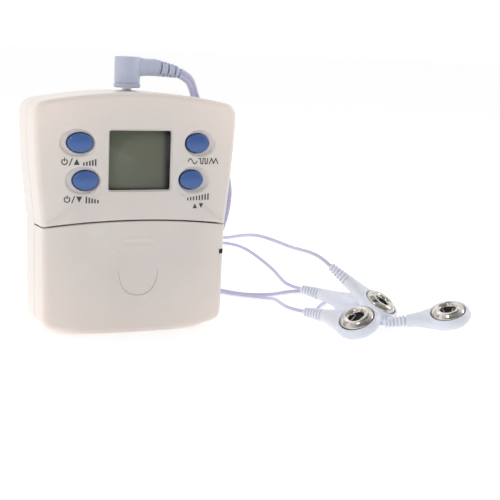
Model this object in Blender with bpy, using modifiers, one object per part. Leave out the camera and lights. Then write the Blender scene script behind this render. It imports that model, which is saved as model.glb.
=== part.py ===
"""Small hand-held TENS unit: a two-shell housing with a sliding battery cover, a display, four keys,
three cells, and a lead set of one plug, one twin cord and four snap connectors.

Metres, +Z up. The unit stands upright with its face to -Y. The origin is the bottom centre of the
housing. The housing is widest at its arched top and narrows to a waist at the battery cover's edge.
"""

import math

import bmesh
import bpy
import numpy as np
from mathutils import Matrix, Vector

# Driving dimensions of the housing.
HEIGHT = 0.0816
DEPTH = 0.025
TOP_HALF_WIDTH = 0.036
WAIST_HALF_WIDTH = 0.0328
BOTTOM_HALF_WIDTH = 0.0322
TOP_ARCH = 0.0040
BOTTOM_ARCH = 0.0027
FLAT_FOOT = 0.011
SPLIT_SIDE_Z = 0.0366
SPLIT_ARCH = 0.0023
TOP_CORNER = 0.0045
BOTTOM_CORNER = 0.0032
FACE_BULGE = 0.0032
FRONT_EDGE = 0.0025
BACK_EDGE = 0.0035
WALL = 0.0018
GAP = 0.0003
SEAM = 0.0005
SIDE_FRONT_Y = -DEPTH / 2 + FACE_BULGE
PARTING_Y = 0.0007
TOP_SIDE_Z = HEIGHT - TOP_ARCH

# Display and keys.
WINDOW = (0.022, 0.020)
WINDOW_Z = 0.0589
KEYS = (
    ("button_on_up", -0.0208, 0.0647),
    ("button_off_down", -0.0188, 0.0522),
    ("button_mode", 0.0208, 0.0647),
    ("button_strength", 0.0188, 0.0522),
)
KEY_HOLE = (0.0092, 0.0069)
BOARD_FRONT_Y = -0.0029
BOARD_THICKNESS = 0.0016
BOARD_BACK_Y = BOARD_FRONT_Y + BOARD_THICKNESS

# Cells: three of 44.5 x 10.3 mm, lying across the unit.
CELL_LENGTH = 0.0445
CELL_RADIUS = 0.00515
CELL_PITCH = 0.01075
CELL_MIDDLE_Z = 0.0215
CELL_Y = -0.0037
TRAY_INNER_HALF = 0.0255

# Output jack and plug.
JACK_Y = 0.004
PIN_RADIUS = 0.00175
BORE_RADIUS = 0.00205
PLUG_BOTTOM_Z = 0.0826
PLUG_HEIGHT = 0.0106
PLUG_RADIUS = 0.0044
ARM_RADIUS = 0.00295
ARM_Z = 0.0897
RELIEF_START_X = 0.010
RELIEF_END = (0.0181, 0.0042, 0.0884)

# Lead set.
CORD_WIDTH = 0.0036
LEAD_DIAMETER = 0.0013
COIL_CENTRE = (0.027, 0.100)
COIL_RADIUS = 0.021
COIL_WALL = 0.0044
COIL_HEIGHT = 0.0150
SPLITTER_ANGLE = math.radians(58)
DISC_RADIUS = 0.0080
DISC_THICKNESS = 0.0048
RING_RADIUS = 0.0060
RING_HOLE = 0.0025
LEAD_RELIEF_END = 0.0235
NECK_Z = 0.0024

# Rounding of the turned pieces and the outline.
ROUND_STEPS = 20
SMALL_STEPS = 12


def clear_scene():
    for item in list(bpy.data.objects):
        bpy.data.objects.remove(item, do_unlink=True)


def new_collection(name):
    collection = bpy.data.collections.new(name)
    bpy.context.scene.collection.children.link(collection)
    return collection


clear_scene()
PARTS = new_collection("tens_unit")
CUTTERS = new_collection("cutters")


def material(name, colour, roughness, metallic=0.0):
    made = bpy.data.materials.new(name)
    made.use_nodes = True
    shader = made.node_tree.nodes["Principled BSDF"]
    shader.inputs["Base Color"].default_value = (*colour, 1.0)
    shader.inputs["Roughness"].default_value = roughness
    shader.inputs["Metallic"].default_value = metallic
    made.diffuse_color = (*colour, 1.0)
    return made


CREAM = material("cream_plastic", (0.83, 0.76, 0.68), 0.32)
BLUE = material("blue_key", (0.10, 0.24, 0.62), 0.28)
LENS = material("display_lens", (0.55, 0.58, 0.50), 0.10)
OLIVE = material("display_glass", (0.23, 0.26, 0.17), 0.30)
DARK = material("black_plastic", (0.03, 0.03, 0.035), 0.45)
GREEN = material("board_laminate", (0.05, 0.22, 0.10), 0.50)
SILICONE = material("grey_silicone", (0.45, 0.46, 0.48), 0.65)
CARBON = material("carbon_rubber", (0.02, 0.02, 0.02), 0.80)
STEEL = material("plated_steel", (0.72, 0.72, 0.74), 0.25, 1.0)
CELL_JACKET = material("cell_jacket", (0.06, 0.07, 0.09), 0.35)
COPPER = material("copper_winding", (0.72, 0.33, 0.15), 0.35, 1.0)
LILAC = material("lead_plastic", (0.72, 0.72, 0.84), 0.40)
CORD = material("cord_jacket", (0.55, 0.55, 0.70), 0.40)


def add_object(name, mesh, finish, collection=None):
    made = bpy.data.objects.new(name, mesh)
    (collection or PARTS).objects.link(made)
    if finish is not None:
        mesh.materials.clear()
        mesh.materials.append(finish)
    if collection is CUTTERS:
        made.hide_render = True
        made.display_type = "WIRE"
    return made


def mesh_from(name, build):
    """A mesh filled by build(bm), with its faces turned outward."""
    mesh = bpy.data.meshes.new(name)
    bm = bmesh.new()
    build(bm)
    bmesh.ops.recalc_face_normals(bm, faces=bm.faces)
    bm.to_mesh(mesh)
    bm.free()
    return mesh


def box(name, size, centre, finish, collection=None, bevel=0.0):
    def build(bm):
        bmesh.ops.create_cube(bm, size=1.0)
        bmesh.ops.scale(bm, vec=size, verts=bm.verts)

    made = add_object(name, mesh_from(name, build), finish, collection)
    made.location = centre
    if bevel:
        rounding = made.modifiers.new("edges", "BEVEL")
        rounding.width = bevel
        rounding.segments = 1
    return made


def cylinder(name, radius, length, centre, axis, finish, collection=None, sides=ROUND_STEPS):
    """A closed cylinder whose middle is at centre, along axis 'X', 'Y' or 'Z'."""
    turn = {"X": (0.0, math.pi / 2, 0.0), "Y": (math.pi / 2, 0.0, 0.0), "Z": (0.0, 0.0, 0.0)}

    def build(bm):
        bmesh.ops.create_cone(
            bm, cap_ends=True, segments=sides, radius1=radius, radius2=radius, depth=length
        )

    made = add_object(name, mesh_from(name, build), finish, collection)
    made.location = centre
    made.rotation_euler = turn[axis]
    return made


def turned(name, profile, finish, steps=ROUND_STEPS, collection=None):
    """A piece turned about Z from (radius, z) points that run top to bottom on the outer side."""
    mesh = bpy.data.meshes.new(name)
    points = [(radius, 0.0, z) for radius, z in profile]
    mesh.from_pydata(points, [(i, i + 1) for i in range(len(points) - 1)], [])
    made = add_object(name, mesh, finish, collection)
    screw = made.modifiers.new("turn", "SCREW")
    screw.steps = steps
    screw.render_steps = steps
    screw.use_merge_vertices = True
    screw.merge_threshold = 0.00001
    return made


def boolean(target, other, operation="DIFFERENCE"):
    cut = target.modifiers.new(f"{operation.lower()}_{other.name}", "BOOLEAN")
    cut.operation = operation
    cut.object = other
    cut.solver = "EXACT"
    return cut


def smooth(target, angle=math.radians(35)):
    target.data.shade_smooth()
    target.data.set_sharp_from_angle(angle=angle)


# ---------------------------------------------------------------- outline of the housing


def half_width(z):
    if z < SPLIT_SIDE_Z:
        return BOTTOM_HALF_WIDTH + (WAIST_HALF_WIDTH - BOTTOM_HALF_WIDTH) * z / SPLIT_SIDE_Z
    rise = min(1.0, (z - SPLIT_SIDE_Z) / (TOP_SIDE_Z - SPLIT_SIDE_Z))
    return WAIST_HALF_WIDTH + (TOP_HALF_WIDTH - WAIST_HALF_WIDTH) * math.sin(rise * math.pi / 2)


def top_edge(x):
    return HEIGHT - TOP_ARCH * (x / TOP_HALF_WIDTH) ** 2


def bottom_edge(x):
    out = max(0.0, abs(x) - FLAT_FOOT) / (BOTTOM_HALF_WIDTH - FLAT_FOOT)
    return BOTTOM_ARCH * out**2


def face_bulge(x):
    return FACE_BULGE * (1.0 - (x / TOP_HALF_WIDTH) ** 2)


def rounded_corner(before, corner, after, segments):
    """Points of a quadratic curve from before to after that bends round corner, ends left out."""
    points = []
    for i in range(1, segments):
        t = i / segments
        points.append(
            tuple(
                (1 - t) ** 2 * a + 2 * t * (1 - t) * b + t * t * c
                for a, b, c in zip(before, corner, after)
            )
        )
    return points


def housing_outline():
    """The closed outline as (x, z) points, anticlockwise seen from the front."""
    foot = [(x, bottom_edge(x)) for x in (0.0, FLAT_FOOT, 0.017, 0.023)]
    foot.append((BOTTOM_HALF_WIDTH - BOTTOM_CORNER, bottom_edge(BOTTOM_HALF_WIDTH - BOTTOM_CORNER)))
    low = BOTTOM_ARCH + BOTTOM_CORNER
    high = TOP_SIDE_Z - TOP_CORNER
    side = [(half_width(z), z) for z in np.linspace(low, high, 9)]
    crown = [(x, top_edge(x)) for x in np.linspace(TOP_HALF_WIDTH - TOP_CORNER, 0.0, 5)]
    lower_corner = rounded_corner(foot[-1], (BOTTOM_HALF_WIDTH, BOTTOM_ARCH), side[0], 4)
    upper_corner = rounded_corner(side[-1], (TOP_HALF_WIDTH, TOP_SIDE_Z), crown[0], 4)
    right = foot + lower_corner + side + upper_corner + crown
    left = [(-x, z) for x, z in reversed(right[1:-1])]
    return right + left


def inset_outline(outline, distance):
    """The outline moved inward by distance along its own normals."""
    moved = []
    for i, (x, z) in enumerate(outline):
        before = outline[i - 1]
        after = outline[(i + 1) % len(outline)]
        along = Vector((after[0] - before[0], after[1] - before[1])).normalized()
        moved.append((x - along.y * distance, z + along.x * distance))
    return moved


def scaled_outline(outline, factor):
    middle = HEIGHT / 2
    return [(x * factor, middle + (z - middle) * factor) for x, z in outline]


def shell(name, rings, finish):
    """An open bowl through rings of (outline points, y of a point at x), closed by its last ring."""

    def build(bm):
        rows = []
        for outline, depth_at in rings:
            rows.append([bm.verts.new((x, depth_at(x), z)) for x, z in outline])
        for row, following in zip(rows, rows[1:]):
            count = len(row)
            for i in range(count):
                j = (i + 1) % count
                bm.faces.new((row[i], row[j], following[j], following[i]))
        bm.faces.new(rows[-1])

    made = add_object(name, mesh_from(name, build), finish)
    return made


def edge_rounding(outline, radius, start_y, sign, bulge):
    """Rings of a rounded edge: from the side wall at start_y round to the face."""
    rings = []
    for angle in (0.0, math.pi / 6, math.pi / 3, math.pi / 2):
        ring = inset_outline(outline, radius * (1.0 - math.cos(angle)))
        level = start_y + sign * radius * math.sin(angle)
        rings.append((ring, lambda x, y=level: y - bulge(x)))
    return rings


def hollow(target, name="wall"):
    wall = target.modifiers.new(name, "SOLIDIFY")
    wall.thickness = WALL
    wall.offset = -1.0
    wall.use_even_offset = True


OUTLINE = housing_outline()


def front_shell(name):
    face = inset_outline(OUTLINE, FRONT_EDGE)
    rings = [(OUTLINE, lambda x: PARTING_Y)]
    rings += edge_rounding(OUTLINE, FRONT_EDGE, SIDE_FRONT_Y + FRONT_EDGE, -1.0, face_bulge)
    for factor in (0.8, 0.55, 0.28, 0.1):
        rings.append((scaled_outline(face, factor), lambda x: SIDE_FRONT_Y - face_bulge(x)))
    made = shell(name, rings, CREAM)
    hollow(made)
    return made


def rear_shell(name):
    rings = [(OUTLINE, lambda x: PARTING_Y + GAP)]
    rings += edge_rounding(OUTLINE, BACK_EDGE, DEPTH / 2 - BACK_EDGE, 1.0, lambda x: 0.0)
    made = shell(name, rings, CREAM)
    hollow(made)
    return made


def split_z(x):
    return SPLIT_SIDE_Z + SPLIT_ARCH * (1.0 - (x / WAIST_HALF_WIDTH) ** 2)


def split_slab(name, above, seam):
    """A thick slab whose curved edge follows the split between front cover and battery cover."""
    reach = WAIST_HALF_WIDTH + 0.01
    far = HEIGHT + 0.02 if above else -0.02
    curve = [(x, split_z(x) + seam) for x in np.linspace(-reach, reach, 15)]

    def build(bm):
        ring = [(reach, far), (-reach, far)] + curve
        verts = [bm.verts.new((x, -0.03, z)) for x, z in ring]
        face = bm.faces.new(verts)
        grown = bmesh.ops.extrude_face_region(bm, geom=[face])
        moved = [item for item in grown["geom"] if isinstance(item, bmesh.types.BMVert)]
        bmesh.ops.translate(bm, vec=(0.0, 0.06, 0.0), verts=moved)

    return add_object(name, mesh_from(name, build), None, CUTTERS)


def ellipse_cutter(name, size, centre, depth):
    made = cylinder(name, 0.5, depth, centre, "Y", None, CUTTERS, 24)
    made.scale = (size[0], size[1], 1.0)
    return made


# ---------------------------------------------------------------- housing

SCREW_PLACES = (
    ("upper_left", -0.029, 0.071, 0.0063),
    ("upper_right", 0.029, 0.071, 0.0063),
    ("lower_left", -0.018, 0.0160, 0.0083),
    ("lower_right", 0.018, 0.0160, 0.0083),
)
SCREW_HEAD_RADIUS = 0.0023
SCREW_SHANK_RADIUS = 0.0010
SCREW_LENGTH = 0.0060
POST_RADIUS = 0.0028
BOSS_RADIUS = 0.0036
POST_BACK_Y = 0.0032


def front_cover():
    made = front_shell("front_cover")
    boolean(made, split_slab("cut_below_split", False, 0.0))
    window = box(
        "cut_window", (WINDOW[0], 0.02, WINDOW[1]), (0.0, -0.012, WINDOW_Z), None, CUTTERS
    )
    boolean(made, window)
    for name, x, z in KEYS:
        boolean(made, ellipse_cutter(f"cut_{name}", KEY_HOLE, (x, -0.010, z), 0.012))
    for side, x, z, _ in SCREW_PLACES[:2]:
        front_y = SIDE_FRONT_Y + 0.0005
        length = POST_BACK_Y - front_y
        post = cylinder(
            f"post_{side}", POST_RADIUS, length, (x, front_y + length / 2, z), "Y", None,
            CUTTERS, SMALL_STEPS,
        )
        boolean(made, post, "UNION")
        bore = cylinder(
            f"cut_post_{side}", SCREW_SHANK_RADIUS + GAP, 0.009, (x, POST_BACK_Y - 0.0035, z),
            "Y", None, CUTTERS, SMALL_STEPS,
        )
        boolean(made, bore)


def battery_cover():
    made = front_shell("battery_cover")
    boolean(made, split_slab("cut_above_split", True, -SEAM))
    latch_slot = box(
        "cut_latch_slot", (0.006, 0.0016, 0.0014), (0.0325, -0.0050, 0.0268), None, CUTTERS
    )
    boolean(made, latch_slot)


def rear_cover():
    made = rear_shell("rear_cover")
    nozzle_hole = cylinder(
        "cut_nozzle", 0.0028 + GAP, 0.008, (0.0, JACK_Y, HEIGHT), "Z", None, CUTTERS
    )
    boolean(made, nozzle_hole)
    for side, x, z, head_y in SCREW_PLACES:
        front_y = head_y - 0.0020
        back_y = DEPTH / 2 - 0.0005
        boss = cylinder(
            f"boss_{side}", BOSS_RADIUS, back_y - front_y, (x, (back_y + front_y) / 2, z), "Y",
            None, CUTTERS, SMALL_STEPS,
        )
        boolean(made, boss, "UNION")
        sink_front = head_y - GAP
        sink = cylinder(
            f"sink_{side}", SCREW_HEAD_RADIUS + GAP, 0.012, (x, sink_front + 0.006, z), "Y",
            None, CUTTERS, SMALL_STEPS,
        )
        boolean(made, sink)
        through = cylinder(
            f"through_{side}", SCREW_SHANK_RADIUS + GAP, 0.012, (x, head_y - 0.002, z), "Y",
            None, CUTTERS, SMALL_STEPS,
        )
        boolean(made, through)


def case_screws():
    profile = [
        (0.0, 0.0014),
        (SCREW_HEAD_RADIUS * 0.7, 0.0013),
        (SCREW_HEAD_RADIUS, 0.0007),
        (SCREW_HEAD_RADIUS, 0.0),
        (SCREW_SHANK_RADIUS, 0.0),
        (SCREW_SHANK_RADIUS, -SCREW_LENGTH + 0.001),
        (0.0, -SCREW_LENGTH),
    ]
    for side, x, z, head_y in SCREW_PLACES:
        made = turned(f"case_screw_{side}", profile, STEEL, SMALL_STEPS)
        made.location = (x, head_y, z)
        made.rotation_euler = (-math.pi / 2, 0.0, 0.0)


# ---------------------------------------------------------------- display, keys and electronics


def display():
    box("lcd_window", (0.0264, 0.001, 0.024), (0.0, -0.0094, WINDOW_Z), LENS)
    box("lcd_glass", (0.024, 0.0024, 0.023), (0.0, -0.0074, WINDOW_Z), OLIVE)
    frame = box("lcd_frame", (0.0264, 0.0052, 0.0252), (0.0, -0.0059, WINDOW_Z), DARK)
    opening = box(
        "cut_lcd_frame", (0.0246, 0.02, 0.0236), (0.0, -0.0059, WINDOW_Z), None, CUTTERS
    )
    boolean(frame, opening)
    strip_z = WINDOW_Z - 0.0100
    box("lcd_contact_strip", (0.022, 0.0025, 0.0022), (0.0, -0.00455, strip_z), CARBON)


def key_top(x):
    """Y of the face where a key at x comes through."""
    return SIDE_FRONT_Y - face_bulge(x)


FLANGE_FRONT_Y = -0.0086
KEY_BACK_Y = -0.0060
PILL_FRONT_Y = KEY_BACK_Y + GAP
PILL_BACK_Y = -0.0045


def keys():
    """Each key: an elliptical domed cap, a retaining flange and a stem, turned and then flattened."""
    long_side = KEY_HOLE[0] / 2 - GAP
    flattening = (KEY_HOLE[1] / 2 - GAP) / long_side
    for name, x, z in KEYS:
        crown = key_top(x) - 0.0009
        dome_edge = crown + 0.0012
        profile = [
            (0.0, -crown),
            (long_side * 0.45, -crown - 0.00015),
            (long_side * 0.8, -crown - 0.0006),
            (long_side, -dome_edge),
            (long_side, -FLANGE_FRONT_Y),
            (long_side + 0.0009, -FLANGE_FRONT_Y),
            (long_side + 0.0009, -FLANGE_FRONT_Y - 0.0008),
            (0.0022, -FLANGE_FRONT_Y - 0.0008),
            (0.0022, -KEY_BACK_Y),
            (0.0, -KEY_BACK_Y),
        ]
        made = turned(name, profile, BLUE)
        made.location = (x, 0.0, z)
        made.rotation_euler = (math.pi / 2, 0.0, 0.0)
        made.scale = (1.0, flattening, 1.0)
        pill = turned(
            name.replace("button", "contact_pill"),
            [(0.0, -PILL_FRONT_Y), (0.0018, -PILL_FRONT_Y), (0.0018, -PILL_BACK_Y), (0.0, -PILL_BACK_Y)],
            CARBON,
            SMALL_STEPS,
        )
        pill.location = (x, 0.0, z)
        pill.rotation_euler = (math.pi / 2, 0.0, 0.0)


MAT_FRONT_Y = -0.0040
MAT_BACK_Y = BOARD_FRONT_Y - GAP
COLLAR_FRONT_Y = -0.0062


def keypad_mats():
    """Two silicone mats on the board, each with a collar round its two key stems."""
    thickness = MAT_BACK_Y - MAT_FRONT_Y
    for side, sign in (("left", -1.0), ("right", 1.0)):
        middle_z = (KEYS[0][2] + KEYS[1][2]) / 2
        mat = box(
            f"keypad_mat_{side}", (0.0105, thickness, 0.0240),
            (sign * 0.0198, (MAT_FRONT_Y + MAT_BACK_Y) / 2, middle_z), SILICONE,
        )
        for name, x, z in KEYS:
            if x * sign < 0.0:
                continue
            collar = cylinder(
                f"collar_{name}", 0.0036, MAT_BACK_Y - COLLAR_FRONT_Y - 0.0002,
                (x, (MAT_BACK_Y + COLLAR_FRONT_Y) / 2 - 0.0001, z), "Y", None, CUTTERS, 16,
            )
            boolean(mat, collar, "UNION")
            bore = cylinder(f"bore_{name}", 0.0028, 0.01, (x, -0.005, z), "Y", None, CUTTERS, 16)
            boolean(mat, bore)


def electronics():
    middle_y = (BOARD_FRONT_Y + BOARD_BACK_Y) / 2
    box("circuit_board", (0.0495, BOARD_THICKNESS, 0.0360), (0.0, middle_y, 0.0597), GREEN)
    surface = BOARD_BACK_Y + GAP
    box(
        "controller_chip", (0.0100, 0.0016, 0.0100), (0.0, surface + 0.0008, 0.0500), DARK,
        bevel=0.0003,
    )
    box(
        "output_transformer", (0.0125, 0.0085, 0.0110), (-0.0150, surface + 0.00425, 0.0530), COPPER,
        bevel=0.0008,
    )
    capacitor = turned(
        "storage_capacitor",
        [(0.0, 0.0080), (0.0028, 0.0080), (0.0031, 0.0077), (0.0031, 0.0), (0.0, 0.0)],
        CELL_JACKET,
        16,
    )
    capacitor.location = (0.0150, surface, 0.0530)
    capacitor.rotation_euler = (-math.pi / 2, 0.0, 0.0)


def jack_socket():
    body_top = HEIGHT - WALL - GAP
    body_bottom = 0.0640
    body = box(
        "jack_socket", (0.0110, 0.0086, body_top - body_bottom),
        (0.0, JACK_Y - 0.0004, (body_top + body_bottom) / 2), DARK,
    )
    nozzle = cylinder(
        "jack_nozzle", 0.0028, 0.0040, (0.0, JACK_Y, HEIGHT - 0.0020), "Z", None, CUTTERS
    )
    boolean(body, nozzle, "UNION")
    bore = cylinder(
        "jack_bore", BORE_RADIUS, 0.0180, (0.0, JACK_Y, HEIGHT + 0.0030 - 0.0090), "Z", None,
        CUTTERS, 16,
    )
    boolean(body, bore)


# ---------------------------------------------------------------- batteries


def battery_tray():
    wall = 0.0010
    inner_height = 3 * CELL_PITCH + 0.0003
    outer = (2 * (TRAY_INNER_HALF + wall), 0.0112, inner_height + 2 * wall)
    back_y = 0.0032
    tray = box(
        "battery_tray", outer, (0.0, back_y - outer[1] / 2, CELL_MIDDLE_Z), CREAM
    )
    inside = box(
        "cut_tray", (2 * TRAY_INNER_HALF, outer[1], inner_height),
        (0.0, back_y - outer[1] / 2 - 0.0012, CELL_MIDDLE_Z), None, CUTTERS,
    )
    boolean(tray, inside)
    for side, x, z, _ in SCREW_PLACES[2:]:
        lug = cylinder(
            f"lug_{side}", POST_RADIUS, 0.0030, (x, back_y + 0.0012, z), "Y", None, CUTTERS,
            SMALL_STEPS,
        )
        boolean(tray, lug, "UNION")
        bore = cylinder(
            f"cut_lug_{side}", SCREW_SHANK_RADIUS + GAP, 0.0110, (x, back_y + 0.001, z), "Y",
            None, CUTTERS, SMALL_STEPS,
        )
        boolean(tray, bore)


def cells():
    """Three cells in series, so each one lies the other way round from its neighbour."""
    nub = 0.0010
    rim = 0.0004
    half = CELL_LENGTH / 2
    profile = [
        (0.0, half),
        (0.0019, half),
        (0.0019, half - nub),
        (CELL_RADIUS - rim, half - nub),
        (CELL_RADIUS, half - nub - rim),
        (CELL_RADIUS, -half + rim),
        (CELL_RADIUS - rim, -half),
        (0.0, -half),
    ]
    plate_gap = 0.0011
    for index in range(3):
        sign = 1.0 if index % 2 == 0 else -1.0
        z = CELL_MIDDLE_Z + (index - 1) * CELL_PITCH
        cell = turned(f"battery_cell_{index + 1}", profile, CELL_JACKET)
        cell.location = (sign * (TRAY_INNER_HALF - plate_gap - half), CELL_Y, z)
        cell.rotation_euler = (0.0, sign * math.pi / 2, 0.0)
        box(
            f"battery_contact_{index + 1}", (0.0004, 0.0075, 0.0075),
            (sign * (TRAY_INNER_HALF - 0.0006), CELL_Y, z), STEEL,
        )
        battery_spring(index, -sign, z)


def battery_spring(index, sign, z):
    """A conical coil spring between the tray's end wall and the flat end of a cell."""
    near = TRAY_INNER_HALF - 0.0006
    far = TRAY_INNER_HALF - 0.0011 - 0.0040 + 0.0003
    turns = 2.5
    count = 26
    points = []
    for i in range(count):
        t = i / (count - 1)
        radius = 0.0034 - 0.0016 * t
        angle = t * turns * 2 * math.pi
        points.append(
            (
                sign * (near + (far - near) * t),
                CELL_Y + radius * math.cos(angle),
                z + radius * math.sin(angle),
            )
        )
    tube(f"battery_spring_{index + 1}", points, 0.0005, STEEL, 1)


# ---------------------------------------------------------------- lead set


def tube(name, points, diameter, finish, rings=2):
    curve = bpy.data.curves.new(name, "CURVE")
    curve.dimensions = "3D"
    curve.bevel_depth = diameter / 2
    curve.bevel_resolution = rings
    curve.use_fill_caps = True
    spline = curve.splines.new("POLY")
    spline.points.add(len(points) - 1)
    for place, point in zip(spline.points, points):
        place.co = (*point, 1.0)
    curve.materials.append(finish)
    made = bpy.data.objects.new(name, curve)
    PARTS.objects.link(made)
    return made


def smooth_route(route, spacing):
    """Points about spacing apart on the natural cubic spline through the route's points."""
    knots = np.array(route, float)
    chords = np.linalg.norm(np.diff(knots, axis=0), axis=1)
    at = np.concatenate([[0.0], np.cumsum(chords)])
    count = len(knots)
    system = np.eye(count)
    rhs = np.zeros((count, 3))
    for i in range(1, count - 1):
        before = chords[i - 1]
        after = chords[i]
        system[i, i - 1 : i + 2] = (before, 2 * (before + after), after)
        rhs[i] = 6 * ((knots[i + 1] - knots[i]) / after - (knots[i] - knots[i - 1]) / before)
    second = np.linalg.solve(system, rhs)
    points = []
    for place in np.linspace(0.0, at[-1], max(2, round(at[-1] / spacing) + 1)):
        i = min(int(np.searchsorted(at, place, side="right")) - 1, count - 2)
        span = chords[i]
        a = (at[i + 1] - place) / span
        b = 1.0 - a
        bend = (a**3 - a) * second[i] + (b**3 - b) * second[i + 1]
        points.append(tuple(a * knots[i] + b * knots[i + 1] + bend * span**2 / 6))
    return points


def millimetres(*route):
    return [tuple(value / 1000 for value in point) for point in route]


def plug():
    """A right-angled plug: metal pin downward, moulded barrel, arm and strain relief to the right."""
    bottom = PLUG_BOTTOM_Z
    pin = turned(
        "plug_pin",
        [
            (0.0, bottom - GAP),
            (PIN_RADIUS, bottom - GAP),
            (PIN_RADIUS, bottom - 0.0100),
            (PIN_RADIUS * 0.75, bottom - 0.0112),
            (PIN_RADIUS * 0.95, bottom - 0.0124),
            (PIN_RADIUS * 0.3, bottom - 0.0140),
            (0.0, bottom - 0.0141),
        ],
        STEEL,
        16,
    )
    pin.location = (0.0, JACK_Y, 0.0)
    top = bottom + PLUG_HEIGHT
    barrel = turned(
        "plug_body",
        [
            (0.0, top),
            (PLUG_RADIUS - 0.0012, top),
            (PLUG_RADIUS, top - 0.0012),
            (PLUG_RADIUS, bottom + 0.0014),
            (PLUG_RADIUS + 0.0002, bottom + 0.0012),
            (PLUG_RADIUS + 0.0002, bottom + 0.0003),
            (PLUG_RADIUS - 0.0002, bottom),
            (0.0, bottom),
        ],
        LILAC,
    )
    barrel.location = (0.0, JACK_Y, 0.0)
    arm = cylinder(
        "plug_arm", ARM_RADIUS, RELIEF_START_X, (RELIEF_START_X / 2 + 0.0005, JACK_Y, ARM_Z), "X",
        None, CUTTERS, 16,
    )
    boolean(barrel, arm, "UNION")
    start = Vector((RELIEF_START_X, JACK_Y, ARM_Z))
    end = Vector(RELIEF_END)
    length = (end - start).length
    relief = turned(
        "plug_relief_form",
        [(0.0, 0.0), (0.0020, 0.0), (ARM_RADIUS - 0.0001, -length), (0.0, -length)],
        None,
        16,
        CUTTERS,
    )
    relief.location = end
    relief.rotation_euler = (end - start).to_track_quat("Z", "Y").to_euler()
    boolean(barrel, relief, "UNION")


CORD_ROUTE = millimetres(
    (19.3, 4.4, 88.0),
    (22.6, 6.2, 86.6),
    (26.6, 10.6, 83.7),
    (30.2, 15.6, 79.0),
    (35.2, 19.4, 72.0),
    (40.6, 22.4, 63.4),
    (45.6, 24.8, 54.0),
    (48.8, 26.6, 44.6),
    (49.0, 28.6, 35.0),
    (46.6, 31.2, 24.8),
    (42.0, 34.8, 14.8),
    (36.0, 39.8, 6.8),
    (29.0, 46.0, 2.6),
    (21.5, 53.5, 1.8),
    (14.5, 62.5, 1.8),
    (9.6, 72.5, 1.8),
    (7.2, 83.0, 1.8),
)


def main_cord():
    tube("main_cord", smooth_route(CORD_ROUTE, 2.4 * CORD_WIDTH), CORD_WIDTH, CORD)
    outer = COIL_RADIUS + COIL_WALL / 2
    inner = COIL_RADIUS - COIL_WALL / 2
    edge = 0.0012
    coil = turned(
        "main_cord_coil",
        [
            (inner + edge, COIL_HEIGHT),
            (outer - edge, COIL_HEIGHT),
            (outer, COIL_HEIGHT - edge),
            (outer, edge),
            (outer - edge, 0.0),
            (inner + edge, 0.0),
            (inner, edge),
            (inner, COIL_HEIGHT - edge),
            (inner + edge, COIL_HEIGHT),
        ],
        CORD,
        32,
    )
    coil.location = (*COIL_CENTRE, 0.0)


def splitter_frame():
    """The matrix of the lead splitter: its X axis points the way the leads leave it."""
    place = Vector(
        (
            COIL_CENTRE[0] + COIL_RADIUS * math.cos(SPLITTER_ANGLE),
            COIL_CENTRE[1] + COIL_RADIUS * math.sin(SPLITTER_ANGLE),
            COIL_HEIGHT + GAP + 0.0018,
        )
    )
    return Matrix.Translation(place) @ Matrix.Rotation(SPLITTER_ANGLE - math.pi / 2, 4, "Z")


def lead_splitter():
    made = box("lead_splitter", (0.0120, 0.0072, 0.0036), (0.0, 0.0, 0.0), LILAC, bevel=0.0008)
    made.matrix_world = splitter_frame()


LEAD_ROUTES = {
    "lead_c": millimetres(
        (44.6, 116.1, 17.1),
        (48.6, 114.0, 17.1),
        (56.0, 109.0, 16.8),
        (64.0, 102.0, 16.2),
        (69.8, 92.0, 16.1),
        (71.8, 80.0, 17.0),
        (71.0, 67.0, 19.5),
        (69.9, 53.0, 22.1),
        (68.8, 37.0, 24.0),
        (69.8, 23.0, 23.8),
        (71.2, 9.5, 23.3),
    ),
    "lead_d": millimetres(
        (44.2, 114.6, 17.0),
        (48.8, 111.4, 16.8),
        (56.0, 105.4, 16.0),
        (64.5, 97.5, 14.6),
        (71.0, 87.5, 14.0),
        (74.4, 76.0, 14.4),
        (75.4, 63.0, 13.9),
        (75.9, 50.0, 11.8),
        (75.7, 38.0, 9.6),
        (73.8, 27.0, 8.2),
    ),
    "lead_b": millimetres(
        (43.6, 113.1, 16.9),
        (48.8, 109.9, 16.5),
        (53.4, 104.4, 12.9),
        (56.5, 97.4, 7.4),
        (57.8, 90.0, 2.9),
        (57.2, 82.0, 0.9),
        (55.0, 73.0, 0.7),
        (53.6, 63.0, 0.7),
        (54.6, 53.5, 0.7),
        (58.4, 44.6, 0.7),
        (64.0, 37.2, 0.7),
        (71.6, 34.9, 0.7),
        (80.4, 37.6, 0.7),
        (88.2, 38.6, 0.7),
        (92.6, 33.6, 0.7),
        (92.8, 25.8, 0.7),
        (89.0, 17.5, 0.7),
        (83.0, 10.5, 0.7),
        (77.5, 3.0, 0.7),
        (73.8, -6.0, 0.7),
        (73.2, -15.0, 0.7),
        (76.4, -22.2, 0.8),
    ),
    "lead_a": millimetres(
        (43.0, 111.6, 16.9),
        (47.8, 108.2, 16.5),
        (52.0, 103.0, 12.9),
        (54.8, 96.4, 7.4),
        (56.0, 89.4, 2.9),
        (55.4, 81.6, 0.9),
        (53.3, 73.0, 0.7),
        (51.9, 63.2, 0.7),
        (52.9, 52.8, 0.7),
        (56.8, 43.2, 0.7),
        (62.9, 35.4, 0.7),
        (66.8, 26.5, 1.2),
        (65.4, 16.0, 2.9),
        (61.8, 4.5, 4.4),
        (58.2, -7.0, 5.6),
    ),
}

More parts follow.
